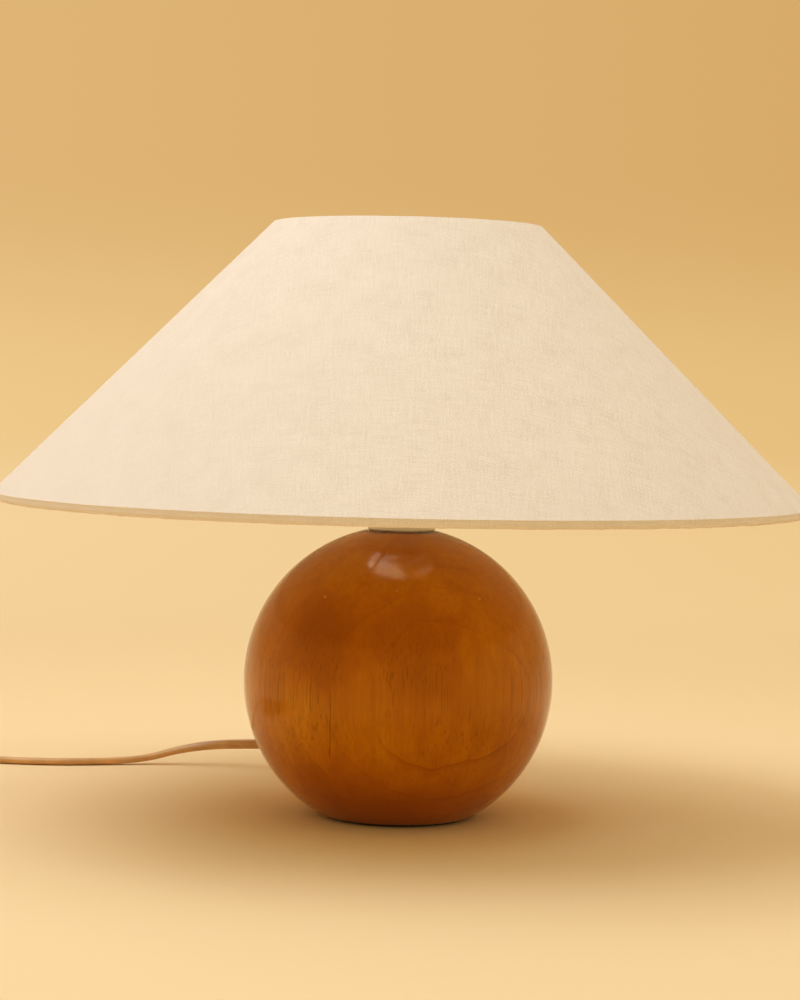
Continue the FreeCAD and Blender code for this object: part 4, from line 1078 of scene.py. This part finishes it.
def makeCover():
    low = onWall("bottom", shade["wrapOuter"], -shade["overhang"])
    high = onWall("top", shade["wrapOuter"], shade["overhang"])
    columns, rows = shade["columns"], shade["rows"]
    ripple, around, along = shade["ripple"]
    vertices, flat = [], []
    for row in range(rows):
        share = row / (rows - 1)
        radius = low[0] + (high[0] - low[0]) * share
        height = low[1] + (high[1] - low[1]) * share
        overlap = shade["seam"] / radius
        for column in range(columns):
            turn = -math.pi + (2 * math.pi + overlap) * column / (columns - 1)
            # the last strip lies over the first one, one cloth further out
            beyond = (turn - math.pi) * radius + shade["seamRise"]
            lift = shade["cloth"] * smoothStep(beyond / shade["seamRise"])
            spot = Vector((math.sin(turn) * around, math.cos(turn) * around, height * along))
            away = (lift + noise.noise(spot) * ripple) * slantCosine
            vertices.append(onCone(radius + away, height + away, turn))
            flat.append(flatPattern(radius, turn))
    faces = gridFaces(rows, columns, False)
    uv = [flat[corner] for face in faces for corner in face]
    cover = newPiece("linenCover", vertices, faces, materials["linen"], uv)
    wall = cover.modifiers.new("wall", "SOLIDIFY")
    wall.thickness = shade["cloth"]
    wall.offset = -1
    # the wall is made real, so that its rim stays crisp beside the smooth cone
    walled = finishedMesh(cover)
    cover.modifiers.remove(wall)
    cover.data = walled
    walled.set_sharp_from_angle(angle=math.radians(shade["crease"]))
    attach(cover, "shade")
    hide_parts("linen_cover")
    return cover, (low, high)


# Cloth turned over the cover's edge and round the wire, with the small puckers of its inner curve.
def makeHem(end, sign):
    inner, outer, over = shade["wrapInner"], shade["wrapOuter"], shade["overhang"]
    touch = 2 * math.atan2(over, outer)
    steps = shade["hemSteps"]
    pucker, around, onward = shade["pucker"]
    section = [(outer, over)]
    for index in range(steps + 1):
        share = index / steps
        angle = touch + (math.pi - touch) * share
        loose = outer + shade["belly"][end] * math.sin(math.pi * share)
        section.append((loose * math.cos(angle), loose * math.sin(angle)))
    for index in range(steps + 1):
        angle = math.pi * (1 - index / steps)
        section.append((inner * math.cos(angle), inner * math.sin(angle)))
    section.append((inner, over))
    columns = shade["columns"] * 2
    vertices, flat = [], []
    run, before = 0.0, section[0]
    for row, (depth, along) in enumerate(section):
        run += math.hypot(depth - before[0], along - before[1])
        before = (depth, along)
        for column in range(columns):
            turn = 2 * math.pi * column / columns
            spin = Vector((math.cos(turn), math.sin(turn), 0))
            fold = noise.noise(spin * shade[end][0] * around + Vector((0, 0, run * onward)))
            held = 0 if row in (0, len(section) - 1) else 1
            grown = 1 + pucker / outer * fold * held
            radius, height = onWall(end, depth * grown, sign * along * grown)
            vertices.append(onCone(radius, height, turn))
            flat.append((run, turn * shade[end][0]))
    rows = len(section)
    faces = gridFaces(rows, columns, True)
    last = (rows - 1) * columns
    for column in range(columns):
        following = (column + 1) % columns
        faces.append((last + column, last + following, following, column))
    if sign > 0:
        faces = [tuple(reversed(face)) for face in faces]
    # the last column's cloth runs on past the join instead of back to its start
    length = 2 * math.pi * shade[end][0]
    uv = []
    for face in faces:
        closing = max(flat[corner][1] for corner in face) > length * 0.9
        for corner in face:
            run, along = flat[corner]
            uv.append((run, along + length if closing and along < length * 0.1 else along))
    hem = newPiece(end + "Hem", vertices, faces, materials["linen"], uv)
    hem.data.set_sharp_from_angle(angle=math.radians(shade["crease"]))
    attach(hem, "shade")
    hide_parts(end + "_hem")
    return hem


def makeShade():
    cover, (low, high) = makeCover()
    hems = [makeHem("bottom", -1), makeHem("top", 1)]


makeShade()


# What the lampholder and the shade's frame carry: a moulded thread above the shade ring, and the
# beads where the spokes were welded.
barrelThread = {"Radius": 0.0195, "Ridge": 0.0006, "Low": 0.1976, "Height": 0.0130, "Turns": 5.2}
weldBeads = {
    "Spokes": 3,
    "Inner radius": 0.0302,
    "Inner height": 0.1873,
    "Outer radius": 0.2205,
    "Outer height": 0.1774,
    "Bead": 0.0021,
    "Flatness": 0.85,
    "Unevenness": 0.0009,
    "Bumps": 620.0,
    "Seed": 3.0,
}


# The direction of one spoke, read from the farthest corner of the spokes' solid.
def spokeAngle():
    far = max(nodes["spokes"].data.vertices, key=lambda vertex: vertex.co.x**2 + vertex.co.y**2).co
    return math.atan2(far.y, far.x)


weldBeads["Start angle"] = spokeAngle()
grow("barrelThread", threadTree, barrelThread, "base", "cream_plastic")
grow("weldBeads", beadsTree, weldBeads, "shade", "white_wire")


# Stage: a pale warm floor that runs back into a curved backdrop, soft light from above and the left.
stage = {
    "floor": (0.900, 0.672, 0.392),
    "width": 16.0,
    "front": -8.0,
    "back": 2.4,
    "bend": 1.1,
    "steps": 24,
    "height": 3.6,
    "level": -0.0002,
    # far off, the paper glows with painted shading in place of lit paper, darker upward and to the right
    # where the light falls off: its tone by height on the left, and what the right has of it
    "farStart": 0.35,
    "farFull": 1.35,
    "tones": [(0.0, (0.925, 0.660, 0.338)), (0.16, (0.860, 0.590, 0.262)), (0.65, (0.742, 0.460, 0.180))],
    "rightShade": (0.915, 0.875, 0.780),
    "sides": (-0.9, 0.9),
    # beyond the paper, the room goes through the same painted shading: by steepness of the view
    "roomAt": (0.12, 0.45),
}
lamps = {
    "overhead": {"azimuth": -68, "elevation": 67, "distance": 1.9, "size": 1.76, "radiance": 2.40},
    "behind": {"azimuth": -150, "elevation": 55, "distance": 2.8, "size": 2.0, "radiance": 1.40},
    "right": {"azimuth": 80, "elevation": 60, "distance": 2.2, "size": 1.8, "radiance": 0.95},
}
lampColour = (0.90, 1.0, 1.16)
lampTarget = (0.0, 0.0, 0.12)
ambient = {"colour": (1.0, 0.84, 0.43), "strength": 0.58}


# The far paper's painted shading at a place, and how much of it shows there.
def farPaintedShade(tree, place):
    height, tone = stage["tones"][0]
    for nextHeight, nextTone in stage["tones"][1:]:
        climb = spread(tree, axisOf(tree, place, "Z"), height, nextHeight, soft=True)
        tone = mixColours(tree, climb, tone, nextTone)
        height = nextHeight
    right = mixColours(tree, 1.0, tone, stage["rightShade"], "MULTIPLY")
    tone = mixColours(tree, spread(tree, axisOf(tree, place, "X"), *stage["sides"]), tone, right)
    away = lengthOf(tree, moveVector(tree, "MULTIPLY", place, (1.0, 1.0, 0.0)))
    return tone, spread(tree, away, stage["farStart"], stage["farFull"], soft=True)


# 1 for what the camera sees, also by way of metal or glass.
def seenDirectly(tree):
    path = tree.nodes.new("ShaderNodeLightPath").outputs
    seen = greater(tree, path["Is Camera Ray"], path["Is Glossy Ray"])
    return greater(tree, seen, path["Is Transmission Ray"])


def mixShaders(tree, share, first, second, result):
    mixed = addNode(tree, "ShaderNodeMixShader", {0: share, 1: first, 2: second})
    tree.links.new(mixed.outputs["Shader"], result.inputs["Surface"])


def makePaper():
    material, tree, shader, given = newMaterial("paperFloor", Roughness=0.85, Specular_IOR_Level=0.15)
    dark = [0.985 * value for value in stage["floor"]]
    own = driftingTone(tree, given["Object"], 1.3, stage["floor"], dark)
    tree.links.new(own, shader.inputs["Base Color"])
    tone, share = farPaintedShade(tree, given["Object"])
    # the far paper glows with painted shading where the camera sees it, also by way of metal or glass
    far = addNode(tree, "ShaderNodeEmission", {"Color": tone}).outputs["Emission"]
    share = times(tree, seenDirectly(tree), share)
    mixShaders(tree, share, shader.outputs["BSDF"], far, tree.nodes["Material Output"])
    return material


def makeStage():
    level, bend, half, steps = stage["level"], stage["bend"], stage["width"] / 2, stage["steps"]
    profile = [(stage["front"], level), (0.0, level)]
    for index in range(steps + 1):
        angle = math.pi / 2 * index / steps
        profile.append((stage["back"] + bend * math.sin(angle), level + bend * (1 - math.cos(angle))))
    profile.append((profile[-1][0], stage["height"]))
    vertices = [(x, y, z) for y, z in profile for x in (-half, half)]
    faces = gridFaces(len(profile), 2, False)
    newPiece("floorAndBackdrop", vertices, faces, makePaper())


# A round lamp that shines at the target, as bright from any distance as its radiance says.
def makeLamp(name, lamp):
    data = bpy.data.lights.new(name, "AREA")
    data.shape = "DISK"
    data.size = lamp["size"]
    data.energy = lamp["radiance"] * math.pi * math.pi * (lamp["size"] / 2) ** 2
    data.color = lampColour
    azimuth, elevation = math.radians(lamp["azimuth"]), math.radians(lamp["elevation"])
    level = math.cos(elevation)
    away = Vector((math.sin(azimuth) * level, -math.cos(azimuth) * level, math.sin(elevation)))
    light = newObject(name, data)
    light.location = Vector(lampTarget) + away * lamp["distance"]
    light.rotation_euler = (-away).to_track_quat("-Z", "Y").to_euler()


def makeWorld():
    world = bpy.data.worlds.new("softRoom")
    world.use_nodes = True
    tree = world.node_tree
    sky = tree.nodes["Background"]
    sky.inputs["Color"].default_value = opaque(ambient["colour"])
    sky.inputs["Strength"].default_value = ambient["strength"]
    climb = axisOf(tree, tree.nodes.new("ShaderNodeTexCoord").outputs["Generated"], "Z")
    (_, low), (_, middle), (_, high) = stage["tones"]
    first, second = stage["roomAt"]
    tone = mixColours(tree, spread(tree, climb, 0.0, first), low, middle)
    tone = mixColours(tree, spread(tree, climb, first, second), tone, high)
    room = addNode(tree, "ShaderNodeBackground", {"Color": tone, "Strength": 1.0})
    seen = seenDirectly(tree)
    backgrounds = sky.outputs["Background"], room.outputs["Background"]
    mixShaders(tree, seen, *backgrounds, tree.nodes["World Output"])
    scene.world = world


makeStage()
for lampName, lamp in lamps.items():
    makeLamp(lampName, lamp)
makeWorld()
print("stage and light ready")
